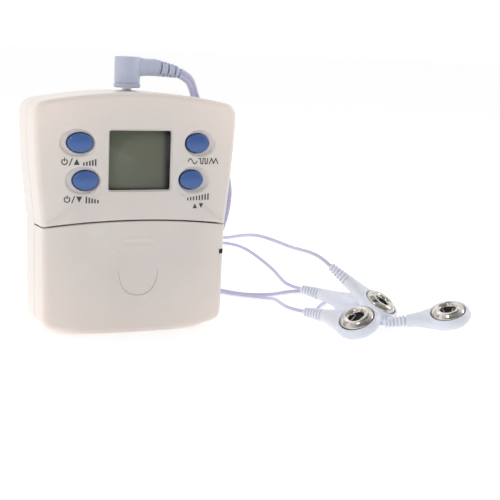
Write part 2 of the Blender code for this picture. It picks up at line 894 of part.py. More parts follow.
# Each connector: the middle of its disc's flat side, the angle its neck points to, how far the neck is
# raised and how far it is rolled about its own axis, in degrees. They lie in a loose heap.
CONNECTORS = {
    "a": ((0.0708, -0.0419, 0.0037), 115.5, 0.5, 31.0),
    "b": ((0.1069, -0.0425, 0.0040), 144.6, -10.4, 20.4),
    "c": ((0.0889, -0.0198, 0.0041), 127.7, 33.5, 0.7),
    "d": ((0.0877, -0.0066, 0.0070), 120.1, 5.3, 185.6),
}


def snap_disc_profile():
    """The connector's moulded disc with a shallow round seat for its metal ring."""
    seat = RING_RADIUS + GAP
    top = DISC_THICKNESS
    return [
        (0.0, top - 0.0016),
        (seat, top - 0.0016),
        (seat, top - 0.0002),
        (seat + 0.0008, top),
        (DISC_RADIUS - 0.0002, top - 0.0016),
        (DISC_RADIUS, top - 0.0024),
        (DISC_RADIUS - 0.0010, 0.0008),
        (DISC_RADIUS - 0.0030, 0.0),
        (0.0, 0.0),
    ]


def snap_ring_profile():
    """The plated socket ring: a rolled dome round the hole that takes the pad's stud."""
    floor = DISC_THICKNESS - 0.0016 + GAP
    top = DISC_THICKNESS + 0.0015
    return [
        (RING_HOLE, top - 0.0010),
        (RING_HOLE + 0.0006, top - 0.0002),
        (RING_HOLE + 0.0014, top),
        (RING_RADIUS - 0.0012, top - 0.0004),
        (RING_RADIUS - 0.0003, top - 0.0011),
        (RING_RADIUS, floor + 0.0005),
        (RING_RADIUS, floor),
        (RING_HOLE, floor),
        (RING_HOLE, top - 0.0010),
    ]


def connector_matrix(key):
    """Local +Z is the disc's axis and local -X the neck."""
    centre, neck, raised, rolled = CONNECTORS[key]
    turn = Matrix.Rotation(math.radians(neck - 180.0), 4, "Z")
    lift = Matrix.Rotation(math.radians(raised), 4, "Y")
    roll = Matrix.Rotation(math.radians(rolled), 4, "X")
    return Matrix.Translation(centre) @ turn @ lift @ roll


def snap_connectors():
    for key in CONNECTORS:
        frame = connector_matrix(key)
        disc = turned(f"snap_connector_{key}", snap_disc_profile(), LILAC)
        disc.matrix_world = frame
        neck = turned(
            f"neck_{key}",
            [
                (0.0, 0.0),
                (0.0016, 0.0),
                (0.0018, 0.0100),
                (0.0021, 0.0101),
                (0.0024, 0.0170),
                (0.0, 0.0171),
            ][::-1],
            None,
            SMALL_STEPS,
            CUTTERS,
        )
        base = Matrix.Translation((-LEAD_RELIEF_END, 0.0, NECK_Z)) @ Matrix.Rotation(
            math.pi / 2, 4, "Y"
        )
        neck.matrix_world = frame @ base
        boolean(disc, neck, "UNION")
        ring = turned(f"snap_ring_{key}", snap_ring_profile(), STEEL)
        ring.matrix_world = frame


def lead_end(key):
    """The last two points of a lead: straight into the strain relief of its connector."""
    frame = connector_matrix(key)
    outward = (0.0040, GAP)
    return [tuple(frame @ Vector((-LEAD_RELIEF_END - away, 0.0, NECK_Z))) for away in outward]


def leads():
    for name, route in LEAD_ROUTES.items():
        whole = route + lead_end(name[-1])
        tube(name, smooth_route(whole, 3 * LEAD_DIAMETER), LEAD_DIAMETER, CORD)


front_cover()
battery_cover()
rear_cover()
case_screws()
display()
keys()
keypad_mats()
electronics()
jack_socket()
battery_tray()
cells()
plug()
main_cord()
lead_splitter()
leads()
snap_connectors()
for part in PARTS.objects:
    if part.type == "MESH":
        smooth(part)
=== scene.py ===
"""Looks of a small hand-held TENS unit: cream housing, blank display, four blue keys, sliding battery
cover, and a lead set that ends in four snap connectors.

Metres, +Z up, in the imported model's frame. The unit faces -Y.
"""

import math

import bmesh
import bpy
import numpy as np
from mathutils import Matrix, Vector


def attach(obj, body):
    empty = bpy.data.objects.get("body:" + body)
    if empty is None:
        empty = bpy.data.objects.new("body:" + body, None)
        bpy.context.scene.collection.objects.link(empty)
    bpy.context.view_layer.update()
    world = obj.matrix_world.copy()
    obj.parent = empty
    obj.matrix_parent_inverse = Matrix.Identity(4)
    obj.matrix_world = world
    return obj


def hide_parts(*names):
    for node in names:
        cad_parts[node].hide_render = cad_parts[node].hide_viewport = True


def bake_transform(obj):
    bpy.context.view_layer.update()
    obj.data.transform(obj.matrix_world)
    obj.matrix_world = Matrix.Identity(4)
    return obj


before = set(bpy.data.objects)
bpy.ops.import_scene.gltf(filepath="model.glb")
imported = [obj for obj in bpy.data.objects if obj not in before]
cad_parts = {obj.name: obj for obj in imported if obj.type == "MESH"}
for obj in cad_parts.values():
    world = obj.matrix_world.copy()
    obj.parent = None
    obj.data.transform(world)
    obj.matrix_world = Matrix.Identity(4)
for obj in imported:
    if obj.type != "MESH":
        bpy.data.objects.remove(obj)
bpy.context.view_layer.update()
SCENE = bpy.context.scene
MM = 0.001

# Housing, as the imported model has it.
HEIGHT = 0.0816
DEPTH = 0.025
TOP_HALF_WIDTH = 0.036
WAIST_HALF_WIDTH = 0.0328
BOTTOM_HALF_WIDTH = 0.0322
TOP_ARCH = 0.0040
BOTTOM_ARCH = 0.0027
FLAT_FOOT = 0.011
SPLIT_SIDE_Z = 0.0366
SPLIT_ARCH = 0.0023
TOP_CORNER = 0.0045
BOTTOM_CORNER = 0.0032
FACE_BULGE = 0.0032
FRONT_EDGE = 0.0018
BACK_EDGE = 0.0021
SEAM = 0.0005
GAP = 0.0003
WALL = 0.0014
LINE_WIDTH = 0.00034
BAR_WIDTH = 0.00050
SIDE_FRONT_Y = -DEPTH / 2 + FACE_BULGE
PARTING_Y = 0.0007
TOP_SIDE_Z = HEIGHT - TOP_ARCH
JACK_Y = 0.004

WINDOW = (0.022, 0.020)
WINDOW_Z = 0.0589
KEYS = (
    ("on_up", -0.0208, 0.0647),
    ("off_down", -0.0188, 0.0522),
    ("mode", 0.0208, 0.0647),
    ("strength", 0.0188, 0.0522),
)
KEY_HOLE = (0.0092, 0.0069)
FLANGE = (0.0086, 0.0078)
STEM_RADIUS = 0.0022
STEM_END = 0.0060
DISH_OFFSET = 0.0009
DISH_DEPTH = 0.0008
DISH_REACH = (0.0061, 0.0047)
DISH_SLOPE = (0.86, 1.02)
LENS_SIZE = (0.0262, 0.0238)
LENS_Y = (-0.0104, -0.0096)
FILM_SIZE = (0.0240, 0.0230)
FILM_Y = (-0.0088, -0.0050)

# Rounded edges of the covers, and the lip behind the split line.
SPLIT_ROUNDING = 0.00040
SPLIT_LIP = 0.0030
EDGE_ANGLES = [math.radians(a) for a in (0, 12, 24, 36, 48, 60, 70, 80, 90)]
FOOT_POINTS = 44
CROWN_POINTS = 46
CORNER_POINTS = 12
SPLIT_POINTS = 96
FRONT_RINGS = 84
BACK_RINGS = 90
LEAST_RING = 0.004

# Battery cover: latch slot, thumb grip and the ridge above it.
LATCH_SLOT = (0.0034, 0.0022, 0.0017)
LATCH_PLACE = (0.0322, -0.0101, 0.0268)
GRIP_TOP_Z = 0.0219
GRIP_HEIGHT = 0.0089
GRIP_HALF_WIDTH = 0.0070
GRIP_DEPTH = 0.00016
RIDGE_HEIGHT = 0.00012
RIDGE_TOP_Z = 0.0325
RIDGE_CURVE = 12.0
RIDGE_ENDS = (0.0040, 0.0062)

# Back: blank label recess and grip lines. A pair is where an edge starts and ends.
LABEL_DEPTH = 0.00035
LABEL_Z = 0.0475
LABEL_SIDE = (0.0175, 0.0171)
LABEL_END = (0.0130, 0.0126)
LINES_DEPTH = 0.00022
LINES_Z = 0.0257
LINES_START_Z = 0.0245
LINES_PITCH = 0.0024
LINES_SIDE = (0.0115, 0.0105)
LINES_END = (0.0050, 0.0044)

# Case screws: side, x, z and the y of the head's seat.
SCREW_PLACES = (
    ("upper_left", -0.029, 0.071, 0.0063),
    ("upper_right", 0.029, 0.071, 0.0063),
    ("lower_left", -0.018, 0.0160, 0.0083),
    ("lower_right", 0.018, 0.0160, 0.0083),
)
SCREW_HEAD_RADIUS = 0.0023
SCREW_SHANK_RADIUS = 0.0010
BOSS_RADIUS = 0.0036
NOZZLE_RADIUS = 0.0028

# Plug.
PLUG_BOTTOM_Z = 0.0826
PLUG_HEIGHT = 0.0106
PLUG_RADIUS = 0.0044
ARM_RADIUS = 0.00295
ARM_Z = 0.0897
RELIEF_START = Vector((0.010, JACK_Y, ARM_Z))
RELIEF_END = Vector((0.0181, 0.0042, 0.0884))

# Lead set.
CORD_WIDTH = 0.0036
LOBE_RADIUS = 0.00091
LEAD_DIAMETER = 0.0013
COIL_CENTRE = Vector((0.027, 0.100))
COIL_RADIUS = 0.021
COLUMN_PITCH = 0.0019
LAYER_PITCH = 0.00365
COIL_FLOOR_Z = 0.0020
COIL_TOP_Z = 0.0171
COIL_ENTRY = math.radians(190)
SPLITTER_ANGLE = math.radians(58)
DISC_RADIUS = 0.0080
DISC_THICKNESS = 0.0048
RING_RADIUS = 0.0060
RING_HOLE = 0.0025
SOCKET_DEPTH = 0.0016
SOCKET_TOP = DISC_THICKNESS + 0.0015
NECK_Z = 0.0024
NECK_END = 0.0150
LEAD_RELIEF_END = 0.0235
RIBS = 6
SPLITTER_LENGTH = 0.0120
TIE_ANGLE = math.radians(-62)
TIE_WIDTH = 0.0048
TIE_THICKNESS = 0.00045

CAMERA_PLACE = (-0.1420, -0.4113, 0.0968)
CAMERA_LENS = 90.65


# ---------------------------------------------------------------- camera, light and floor


def add_camera():
    """A long lens in front of the unit, a little to its left and above it."""
    yaw = math.radians(24.7)
    pitch = math.radians(9.0)
    roll = math.radians(2.22)
    ahead = Vector(
        (math.sin(yaw) * math.cos(pitch), math.cos(yaw) * math.cos(pitch), -math.sin(pitch))
    )
    level = Vector((math.cos(yaw), -math.sin(yaw), 0.0))
    above = level.cross(ahead)
    right = math.cos(roll) * level + math.sin(roll) * above
    up = -math.sin(roll) * level + math.cos(roll) * above
    lens = bpy.data.cameras.new("camera")
    lens.sensor_width = 36.0
    lens.lens = CAMERA_LENS
    lens.clip_start = 0.01
    made = bpy.data.objects.new("camera", lens)
    turn = Matrix((right, up, -ahead)).transposed().to_4x4()
    made.matrix_world = Matrix.Translation(CAMERA_PLACE) @ turn
    SCENE.collection.objects.link(made)
    SCENE.camera = made


def add_light(name, place, target, size, power, colour=(1.0, 1.0, 1.0)):
    """A soft rectangular lamp that faces the target."""
    lamp = bpy.data.lights.new(name, "AREA")
    lamp.shape = "RECTANGLE"
    lamp.size = size[0]
    lamp.size_y = size[1]
    lamp.energy = power
    lamp.color = colour
    made = bpy.data.objects.new(name, lamp)
    made.location = place
    made.rotation_euler = (Vector(target) - Vector(place)).to_track_quat("-Z", "Y").to_euler()
    SCENE.collection.objects.link(made)


def add_studio():
    """White all round, dark behind the camera and overhead, with three small lamps for the highlights."""
    world = bpy.data.worlds.new("studio")
    world.use_nodes = True
    tree = world.node_tree
    backdrop = tree.nodes["Background"]
    toward = axes_of(tree, "Generated")
    front = spread(tree, toward["Y"], 0.22, 1.0, -0.95, 0.10, smooth=True)
    overhead = spread(tree, toward["Z"], 1.0, 0.12, 0.86, 0.93, smooth=True)
    tree.links.new(arithmetic(tree, "MULTIPLY", front, overhead), backdrop.inputs["Color"])
    backdrop.inputs["Strength"].default_value = 1.06
    SCENE.world = world
    SCENE.view_settings.view_transform = "Standard"
    middle = (0.02, 0.0, 0.04)
    add_light("key_light", (-0.55, -0.60, 0.75), middle, (0.22, 0.22), 1.6, (1.0, 0.96, 0.92))
    add_light("fill_light", (0.95, -0.15, 0.45), middle, (0.30, 0.30), 1.2, (0.96, 0.97, 1.0))
    add_light("top_light", (0.0, 0.25, 0.90), middle, (0.8, 0.8), 0.8)

    def build(bm):
        bmesh.ops.create_grid(bm, x_segments=4, y_segments=4, size=40.0)

    floor = add_mesh("floor", build, FLOOR)
    floor.location.z = -0.0001


# ---------------------------------------------------------------- materials


def nodes_of(name):
    made = bpy.data.materials.new(name)
    made.use_nodes = True
    tree = made.node_tree
    return made, tree, tree.nodes["Principled BSDF"]


def set_inputs(node, **values):
    """Sets a node's inputs. An underscore in a name stands for a space."""
    for name, value in values.items():
        node.inputs[name.replace("_", " ")].default_value = value


def noise(tree, scale, detail=4.0, roughness=0.55):
    place = tree.nodes.new("ShaderNodeTexCoord")
    made = tree.nodes.new("ShaderNodeTexNoise")
    set_inputs(made, Scale=scale, Detail=detail, Roughness=roughness)
    tree.links.new(place.outputs["Object"], made.inputs["Vector"])
    return made.outputs["Fac"]


def ramp(tree, source, low, high, dark, light):
    """From the dark colour at low to the light one at high."""
    made = tree.nodes.new("ShaderNodeValToRGB")
    for stop, place, colour in zip(made.color_ramp.elements, (low, high), (dark, light)):
        stop.position = place
        stop.color = (*colour, 1.0)
    tree.links.new(source, made.inputs["Fac"])
    return made.outputs["Color"]


def spread(tree, source, low, high, from_low=0.0, from_high=1.0, smooth=False):
    made = tree.nodes.new("ShaderNodeMapRange")
    made.interpolation_type = "SMOOTHSTEP" if smooth else "LINEAR"
    set_inputs(made, From_Min=from_low, From_Max=from_high, To_Min=low, To_Max=high)
    tree.links.new(source, made.inputs["Value"])
    return made.outputs["Result"]


def axes_of(tree, kind):
    """The X, Y and Z outputs of a place on the object, or of a direction."""
    place = tree.nodes.new("ShaderNodeTexCoord")
    parts = tree.nodes.new("ShaderNodeSeparateXYZ")
    tree.links.new(place.outputs[kind], parts.inputs["Vector"])
    return parts.outputs


def arithmetic(tree, operation, *values):
    """Each value is an output or a number."""
    made = tree.nodes.new("ShaderNodeMath")
    made.operation = operation
    for place, value in zip(made.inputs, values):
        if isinstance(value, float):
            place.default_value = value
        else:
            tree.links.new(value, place)
    return made.outputs["Value"]


def tinted(tree, shader, share, base, tint):
    """Base colour that goes over to a tint by a share."""
    mix = tree.nodes.new("ShaderNodeMix")
    mix.data_type = "RGBA"
    mix.inputs["B"].default_value = (*tint, 1.0)
    tree.links.new(share, mix.inputs["Factor"])
    tree.links.new(base, mix.inputs["A"])
    tree.links.new(mix.outputs["Result"], shader.inputs["Base Color"])


def uneven_gloss(tree, shader, low, high, scale, detail=4.0, roughness=0.55):
    gloss = spread(tree, noise(tree, scale, detail, roughness), low, high)
    tree.links.new(gloss, shader.inputs["Roughness"])


def bump(tree, shader, source, strength, distance):
    made = tree.nodes.new("ShaderNodeBump")
    set_inputs(made, Strength=strength, Distance=distance)
    tree.links.new(source, made.inputs["Height"])
    tree.links.new(made.outputs["Normal"], shader.inputs["Normal"])


def moulded(name, dark, light, rough, grain=2600.0, depth=0.00003, coat=0.0, soft=0.0):
    """A moulded plastic: cloudy colour, a painted highlight that makes it lighter along sharp edges, a fine
    grain and uneven gloss.
    """
    made, tree, shader = nodes_of(name)
    colour = ramp(tree, noise(tree, 55.0, 5.0), 0.30, 0.70, dark, light)
    geometry = tree.nodes.new("ShaderNodeNewGeometry")
    # Painted highlight: sharp edges, found by their pointiness, are lifted to a lighter colour.
    edges = ramp(tree, geometry.outputs["Pointiness"], 0.50, 0.62, (0, 0, 0), (1, 1, 1))
    lift = tuple(min(1.0, value * 1.05 + 0.015) for value in light)
    tinted(tree, shader, spread(tree, edges, 0.0, 0.6), colour, lift)
    uneven_gloss(tree, shader, rough * 0.82, rough * 1.2, 140.0, 6.0, 0.65)
    bump(tree, shader, noise(tree, grain, 3.0), 0.35, depth)
    set_inputs(shader, IOR=1.46, Coat_Weight=coat, Coat_Roughness=0.12)
    if soft:
        set_inputs(
            shader,
            Subsurface_Weight=soft,
            Subsurface_Radius=(1.0, 0.75, 0.6),
            Subsurface_Scale=0.0012,
        )
    return made


def metal(name, dark, light, rough, scratch=0.00001):
    """Plated metal with faint drawn streaks and uneven tarnish."""
    made, tree, shader = nodes_of(name)
    colour = ramp(tree, noise(tree, 320.0, 5.0), 0.32, 0.66, dark, light)
    tree.links.new(colour, shader.inputs["Base Color"])
    set_inputs(shader, Metallic=1.0)
    uneven_gloss(tree, shader, rough * 0.7, rough * 1.4, 900.0)
    bump(tree, shader, noise(tree, 3200.0), 0.25, scratch)
    return made


def display_film():
    """Blank liquid crystal film: olive grey-green, and dark along the side that lies in shade."""
    made, tree, shader = nodes_of("display_film")
    olive = ((0.165, 0.185, 0.112), (0.185, 0.205, 0.128))
    shade_from = WINDOW[0] / 2 - 0.0030
    shade_to = WINDOW[0] / 2 - 0.0002
    across = axes_of(tree, "Object")["X"]
    film = ramp(tree, noise(tree, 70.0, 3.0), 0.3, 0.7, *olive)
    side = spread(tree, across, 0.0, 1.0, shade_from, shade_to, smooth=True)
    tinted(tree, shader, side, film, (0.012, 0.013, 0.012))
    uneven_gloss(tree, shader, 0.32, 0.45, 500.0)
    bump(tree, shader, noise(tree, 1800.0), 0.15, 0.00001)
    return made


def clear_lens():
    """Clear plastic with a faint haze."""
    made, tree, shader = nodes_of("clear_lens")
    set_inputs(shader, Base_Color=(1.0, 1.0, 1.0, 1.0), Transmission_Weight=1.0, IOR=1.38)
    uneven_gloss(tree, shader, 0.02, 0.07, 260.0, 6.0)
    return made


def board_green():
    """Green lacquer over a pattern of copper tracks."""
    made, tree, shader = nodes_of("board_green")
    tracks = tree.nodes.new("ShaderNodeTexBrick")
    place = tree.nodes.new("ShaderNodeTexCoord")
    tree.links.new(place.outputs["Object"], tracks.inputs["Vector"])
    set_inputs(
        tracks,
        Scale=420.0,
        Mortar_Size=0.06,
        Color1=(0.02, 0.13, 0.05, 1.0),
        Color2=(0.03, 0.17, 0.07, 1.0),
        Mortar=(0.05, 0.26, 0.11, 1.0),
    )
    tree.links.new(tracks.outputs["Color"], shader.inputs["Base Color"])
    uneven_gloss(tree, shader, 0.3, 0.5, 400.0)
    bump(tree, shader, tracks.outputs["Fac"], 0.3, 0.00003)
    return made


def floor_paper():
    """White paper, lit a little from inside so that it stays white in the soft light."""
    made, tree, shader = nodes_of("floor_paper")
    white = ((0.97, 0.97, 0.972), (0.985, 0.985, 0.985))
    colour = ramp(tree, noise(tree, 9.0, 4.0), 0.3, 0.7, *white)
    tree.links.new(colour, shader.inputs["Base Color"])
    set_inputs(
        shader,
        Roughness=0.8,
        Specular_IOR_Level=0.1,
        Emission_Color=(1.0, 1.0, 1.0, 1.0),
        Emission_Strength=0.30,
    )
    return made


def housing_cream():
    """Ivory gloss plastic, rosier grey in the middle of each face and paler and warmer toward the rim: a
    painted highlight where the bulging face catches more light.
    """
    rosy = ((0.705, 0.655, 0.625), (0.75, 0.705, 0.675))
    made = moulded("cream_housing", *rosy, 0.30, coat=0.25, soft=0.15)
    tree = made.node_tree
    shader = tree.nodes["Principled BSDF"]
    body = shader.inputs["Base Color"].links[0].from_socket
    place = axes_of(tree, "Object")
    across = square_of(tree, place["X"], 0.0, TOP_HALF_WIDTH)
    upward = square_of(tree, place["Z"], HEIGHT / 2, HEIGHT / 2)
    # Painted light: the colour is lifted toward the rim of each face, by distance from its middle.
    rim = spread(tree, arithmetic(tree, "ADD", across, upward), 0.0, 1.0, 0.35, 1.45)
    tinted(tree, shader, rim, body, (0.89, 0.79, 0.73))
    return made


def square_of(tree, value, middle, reach):
    """((value - middle) / reach) squared."""
    share = arithmetic(tree, "DIVIDE", arithmetic(tree, "SUBTRACT", value, middle), reach)
    return arithmetic(tree, "MULTIPLY", share, share)


CREAM = housing_cream()
TRAY = moulded("cream_tray", (0.62, 0.55, 0.49), (0.68, 0.60, 0.54), 0.48)
BLUE = moulded(
    "blue_key_plastic", (0.046, 0.112, 0.33), (0.062, 0.145, 0.40), 0.34, 3400.0, 0.00002, 0.2
)
LILAC = moulded(
    "lilac_plug_plastic", (0.49, 0.54, 0.68), (0.58, 0.63, 0.78), 0.42, 2900.0, soft=0.1
)
PEARL = moulded(
    "white_connector_plastic", (0.74, 0.77, 0.86), (0.83, 0.86, 0.94), 0.36, 2900.0, coat=0.1, soft=0.1
)
CORD = moulded("lilac_cord_jacket", (0.47, 0.46, 0.66), (0.57, 0.56, 0.75), 0.44, 3800.0, 0.00002)
LEAD = moulded("lilac_lead_jacket", (0.53, 0.53, 0.72), (0.63, 0.63, 0.81), 0.42, 3800.0, 0.00002)
TIE = moulded("grey_tie_rubber", (0.25, 0.25, 0.28), (0.33, 0.33, 0.36), 0.62, 1800.0)
BLACK = moulded("black_frame_plastic", (0.010, 0.010, 0.011), (0.018, 0.018, 0.020), 0.5)
SILICONE = moulded("grey_key_mat", (0.36, 0.37, 0.39), (0.44, 0.45, 0.47), 0.66)
CARBON = moulded("carbon_rubber", (0.010, 0.010, 0.010), (0.022, 0.022, 0.022), 0.85)
JACKET = moulded("cell_film", (0.035, 0.045, 0.07), (0.05, 0.065, 0.10), 0.30, 900.0, 0.00001, 0.3)
INK = moulded("symbol_ink", (0.035, 0.030, 0.032), (0.055, 0.048, 0.050), 0.5)
CHROME = metal("socket_chrome", (0.42, 0.38, 0.34), (0.74, 0.71, 0.67), 0.08)
STEEL = metal("plated_steel", (0.50, 0.50, 0.52), (0.68, 0.68, 0.70), 0.28)
COPPER = metal("copper_winding", (0.55, 0.24, 0.10), (0.75, 0.36, 0.17), 0.38, 0.00004)
FILM = display_film()
LENS = clear_lens()
BOARD = board_green()
FLOOR = floor_paper()


# ---------------------------------------------------------------- mesh tools


def add_object(name, mesh, finish, angle=40):
    made = bpy.data.objects.new(name, mesh)
    SCENE.collection.objects.link(made)
    mesh.materials.clear()
    mesh.materials.append(finish)
    mesh.shade_smooth()
    mesh.set_sharp_from_angle(angle=math.radians(angle))
    return made


def add_mesh(name, build, finish, angle=40, merge=True):
    mesh = bpy.data.meshes.new(name)
    bm = bmesh.new()
    build(bm)
    if merge:
        bmesh.ops.remove_doubles(bm, verts=bm.verts, dist=1e-7)
    bmesh.ops.recalc_face_normals(bm, faces=bm.faces)
    bm.to_mesh(mesh)
    bm.free()
    return add_object(name, mesh, finish, angle)


def skin(bm, rows, closed=True, start_cap=False, end_cap=False):
    """Quads between rows of points. A closed row joins its last point to its first."""
    made = [[bm.verts.new(point) for point in row] for row in rows]
    for row, following in zip(made, made[1:]):
        count = len(row)
        for i in range(count if closed else count - 1):
            j = (i + 1) % count
            bm.faces.new((row[i], row[j], following[j], following[i]))
    if start_cap:
        bm.faces.new(made[0])
    if end_cap:
        bm.faces.new(made[-1])


def add_form(name, rows, finish, angle=40):
    """A solid through rings of points, flat at both ends."""
    return add_mesh(name, lambda bm: skin(bm, rows, True, True, True), finish, angle)


def ease(t):
    """From 0 to 1 with a gentle start and end."""
    t = min(1.0, max(0.0, t))
    return t * t * (3 - 2 * t)


def smoothstep(low, high, value):
    return ease((value - low) / (high - low))


def circle(radius, height, steps=96, squeeze=1.0):
    points = []
    for i in range(steps):
        a = 2 * math.pi * i / steps
        points.append((radius * math.cos(a), squeeze * radius * math.sin(a), height))
    return points


def squarish(half_width, half_height, power, steps):
    """A ring that goes from an ellipse, at power 1, toward a rectangle, at power 0."""
    points = []
    for cosine, sine, _ in circle(1.0, 0.0, steps):
        points.append(
            (
                math.copysign(abs(cosine) ** power, cosine) * half_width,
                math.copysign(abs(sine) ** power, sine) * half_height,
            )
        )
    return points


def rounded_profile(corners, steps=5):
    """A (radius, height) profile from corners (radius, height, rounding), each rounded off by a curve."""
    points = [corners[0][:2]]
    for before, corner, after in zip(corners, corners[1:], corners[2:]):
        here = Vector(corner[:2])
        into = Vector(before[:2]) - here
        onto = Vector(after[:2]) - here
        size = min(corner[2], 0.49 * into.length, 0.49 * onto.length)
        if size < 1e-7:
            points.append(tuple(here))
            continue
        start = here + into.normalized() * size
        end = here + onto.normalized() * size
        for i in range(steps + 1):
            t = i / steps
            points.append(tuple((1 - t) ** 2 * start + 2 * t * (1 - t) * here + t * t * end))
    points.append(corners[-1][:2])
    return points


def turn_profile(bm, profile, steps=96, squeeze=1.0, matrix=None):
    """Turns a profile about local Z. An end on the axis closes the form there."""
    matrix = matrix or Matrix.Identity(4)
    rows = []
    for radius, height in profile:
        row = circle(max(radius, 1e-6), height, steps, squeeze)
        rows.append([matrix @ Vector(point) for point in row])
    skin(bm, rows, True, True, True)


def turned(name, corners, finish, steps=96, squeeze=1.0, matrix=None, angle=40):
    profile = rounded_profile(corners)
    return add_mesh(name, lambda bm: turn_profile(bm, profile, steps, squeeze, matrix), finish, angle)


def apply_modifiers(target):
    graph = bpy.context.evaluated_depsgraph_get()
    mesh = bpy.data.meshes.new_from_object(target.evaluated_get(graph))
    target.modifiers.clear()
    target.data = mesh


def combine(target, others, operation="DIFFERENCE", angle=35):
    """Cuts others from target, or joins them to it, and removes them."""
    for other in others:
        step = target.modifiers.new(operation.lower(), "BOOLEAN")
        step.operation = operation
        step.object = other
        step.solver = "MANIFOLD"
    apply_modifiers(target)
    for other in others:
        bpy.data.objects.remove(other, do_unlink=True)
    target.data.shade_smooth()
    target.data.set_sharp_from_angle(angle=math.radians(angle))
    return target


def finish_nodes(names, material):
    for name in names:
        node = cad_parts[name]
        node.data.materials.clear()
        node.data.materials.append(material)
        node.data.shade_smooth()
        node.data.set_sharp_from_angle(angle=math.radians(35))


def smooth_route(route, spacing):
    """Points about spacing apart on the natural cubic spline through the route's points."""
    knots = np.array(route, float)
    chords = np.linalg.norm(np.diff(knots, axis=0), axis=1)
    at = np.concatenate([[0.0], np.cumsum(chords)])
    count = len(knots)
    system = np.eye(count)
    rhs = np.zeros((count, 3))
    for i in range(1, count - 1):
        before = chords[i - 1]
        after = chords[i]
        system[i, i - 1 : i + 2] = (before, 2 * (before + after), after)
        rhs[i] = 6 * ((knots[i + 1] - knots[i]) / after - (knots[i] - knots[i - 1]) / before)
    second = np.linalg.solve(system, rhs)
    points = []
    for place in np.linspace(0.0, at[-1], max(2, round(at[-1] / spacing) + 1)):
        i = min(int(np.searchsorted(at, place, side="right")) - 1, count - 2)
        span = chords[i]
        a = (at[i + 1] - place) / span
        b = 1.0 - a
        bend = (a**3 - a) * second[i] + (b**3 - b) * second[i + 1]
        points.append(Vector(a * knots[i] + b * knots[i + 1] + bend * span**2 / 6))
    return points


def length_of(points):
    return sum((b - a).length for a, b in zip(points, points[1:]))


def millimetres(*route):
    return [tuple(value * MM for value in point) for point in route]


# ---------------------------------------------------------------- cords

CORD_ROUTE = millimetres(
    (19.3, 4.4, 88.0), (22.6, 6.2, 86.6), (26.6, 10.6, 83.7), (30.2, 15.6, 79.0),
    (35.2, 19.4, 72.0), (40.6, 22.4, 63.4), (45.6, 24.8, 54.0), (48.8, 26.6, 44.6),
    (49.0, 28.6, 35.0), (46.6, 31.2, 24.8), (42.0, 34.8, 14.8), (36.0, 39.8, 6.8),
    (29.0, 46.0, 2.6), (21.5, 53.5, 1.8), (14.5, 62.5, 1.8), (9.6, 72.5, 1.8),
    (7.2, 83.0, 1.9), (5.8, 89.8, 2.0),
)

# Column (0 outer, 1 inner) and layer of each turn of the coil, in the order they are wound.
TURNS = ((0, 0), (1, 0), (1, 1), (0, 1), (0, 2), (1, 2), (1, 3))
STEPS_PER_TURN = 48
CLIMB_STEPS = 18


def coil_points():
    """The turns, wound clockwise seen from above, then the end that climbs on top to the splitter."""
    places = [
        (COIL_RADIUS + COLUMN_PITCH * (0.5 - column), COIL_FLOOR_Z + LAYER_PITCH * layer)
        for column, layer in TURNS
    ]
    last_sweep = COIL_ENTRY - SPLITTER_ANGLE
    places.append((COIL_RADIUS, COIL_TOP_Z))
    points = []
    for i in range(len(TURNS) * STEPS_PER_TURN):
        turn, step = divmod(i, STEPS_PER_TURN)
        share = step / STEPS_PER_TURN
        rise = ease((share - 0.80) / 0.20) if turn < len(TURNS) - 1 else 0.0
        here = Vector(places[turn])
        radius, height = here.lerp(Vector(places[min(turn + 1, len(TURNS) - 1)]), rise)
        angle = COIL_ENTRY - 2 * math.pi * (turn + share)
        points.append(coil_place(radius, angle, height))
    for i in range(CLIMB_STEPS + 1):
        share = i / CLIMB_STEPS
        radius, height = Vector(places[-2]).lerp(Vector(places[-1]), ease(share))
        points.append(coil_place(radius, COIL_ENTRY - last_sweep * share, height))
    return points


def coil_place(radius, angle, height):
    return (
        COIL_CENTRE.x + radius * math.cos(angle),
        COIL_CENTRE.y + radius * math.sin(angle),
        height,
    )


def twin_section():
    """Outline of the flat twin cord: two round lobes with a groove between them."""
    reach = math.radians(150)
    offset = CORD_WIDTH / 2 - LOBE_RADIUS
    points = []
    for side in (1.0, -1.0):
        for i in range(11):
            a = -reach + 2 * reach * i / 10
            out = offset + LOBE_RADIUS * math.cos(a)
            points.append((side * out, side * LOBE_RADIUS * math.sin(a)))
    return points


def carried_frames(points, first_wide, last_wide):
    """The direction of the section's wide side at each point: carried along the path without twist, then
    twisted evenly so that it ends at last_wide."""
    tangents = []
    for i in range(len(points)):
        ahead = points[min(i + 1, len(points) - 1)] - points[max(i - 1, 0)]
        tangents.append(ahead.normalized())
    wide = first_wide - first_wide.dot(tangents[0]) * tangents[0]
    wides = [wide.normalized()]
    for tangent in tangents[1:]:
        wide = wides[-1] - wides[-1].dot(tangent) * tangent
        wides.append(wide.normalized())
    goal = (last_wide - last_wide.dot(tangents[-1]) * tangents[-1]).normalized()
    across = tangents[-1].cross(wides[-1])
    twist = math.atan2(goal.dot(across), goal.dot(wides[-1]))
    if twist > math.pi / 2:
        twist -= math.pi
    if twist < -math.pi / 2:
        twist += math.pi
    turned_wides = []
    for i, (tangent, wide) in enumerate(zip(tangents, wides)):
        part = twist * i / (len(points) - 1)
        turned_wides.append(Matrix.Rotation(part, 3, tangent) @ wide)
    return tangents, turned_wides


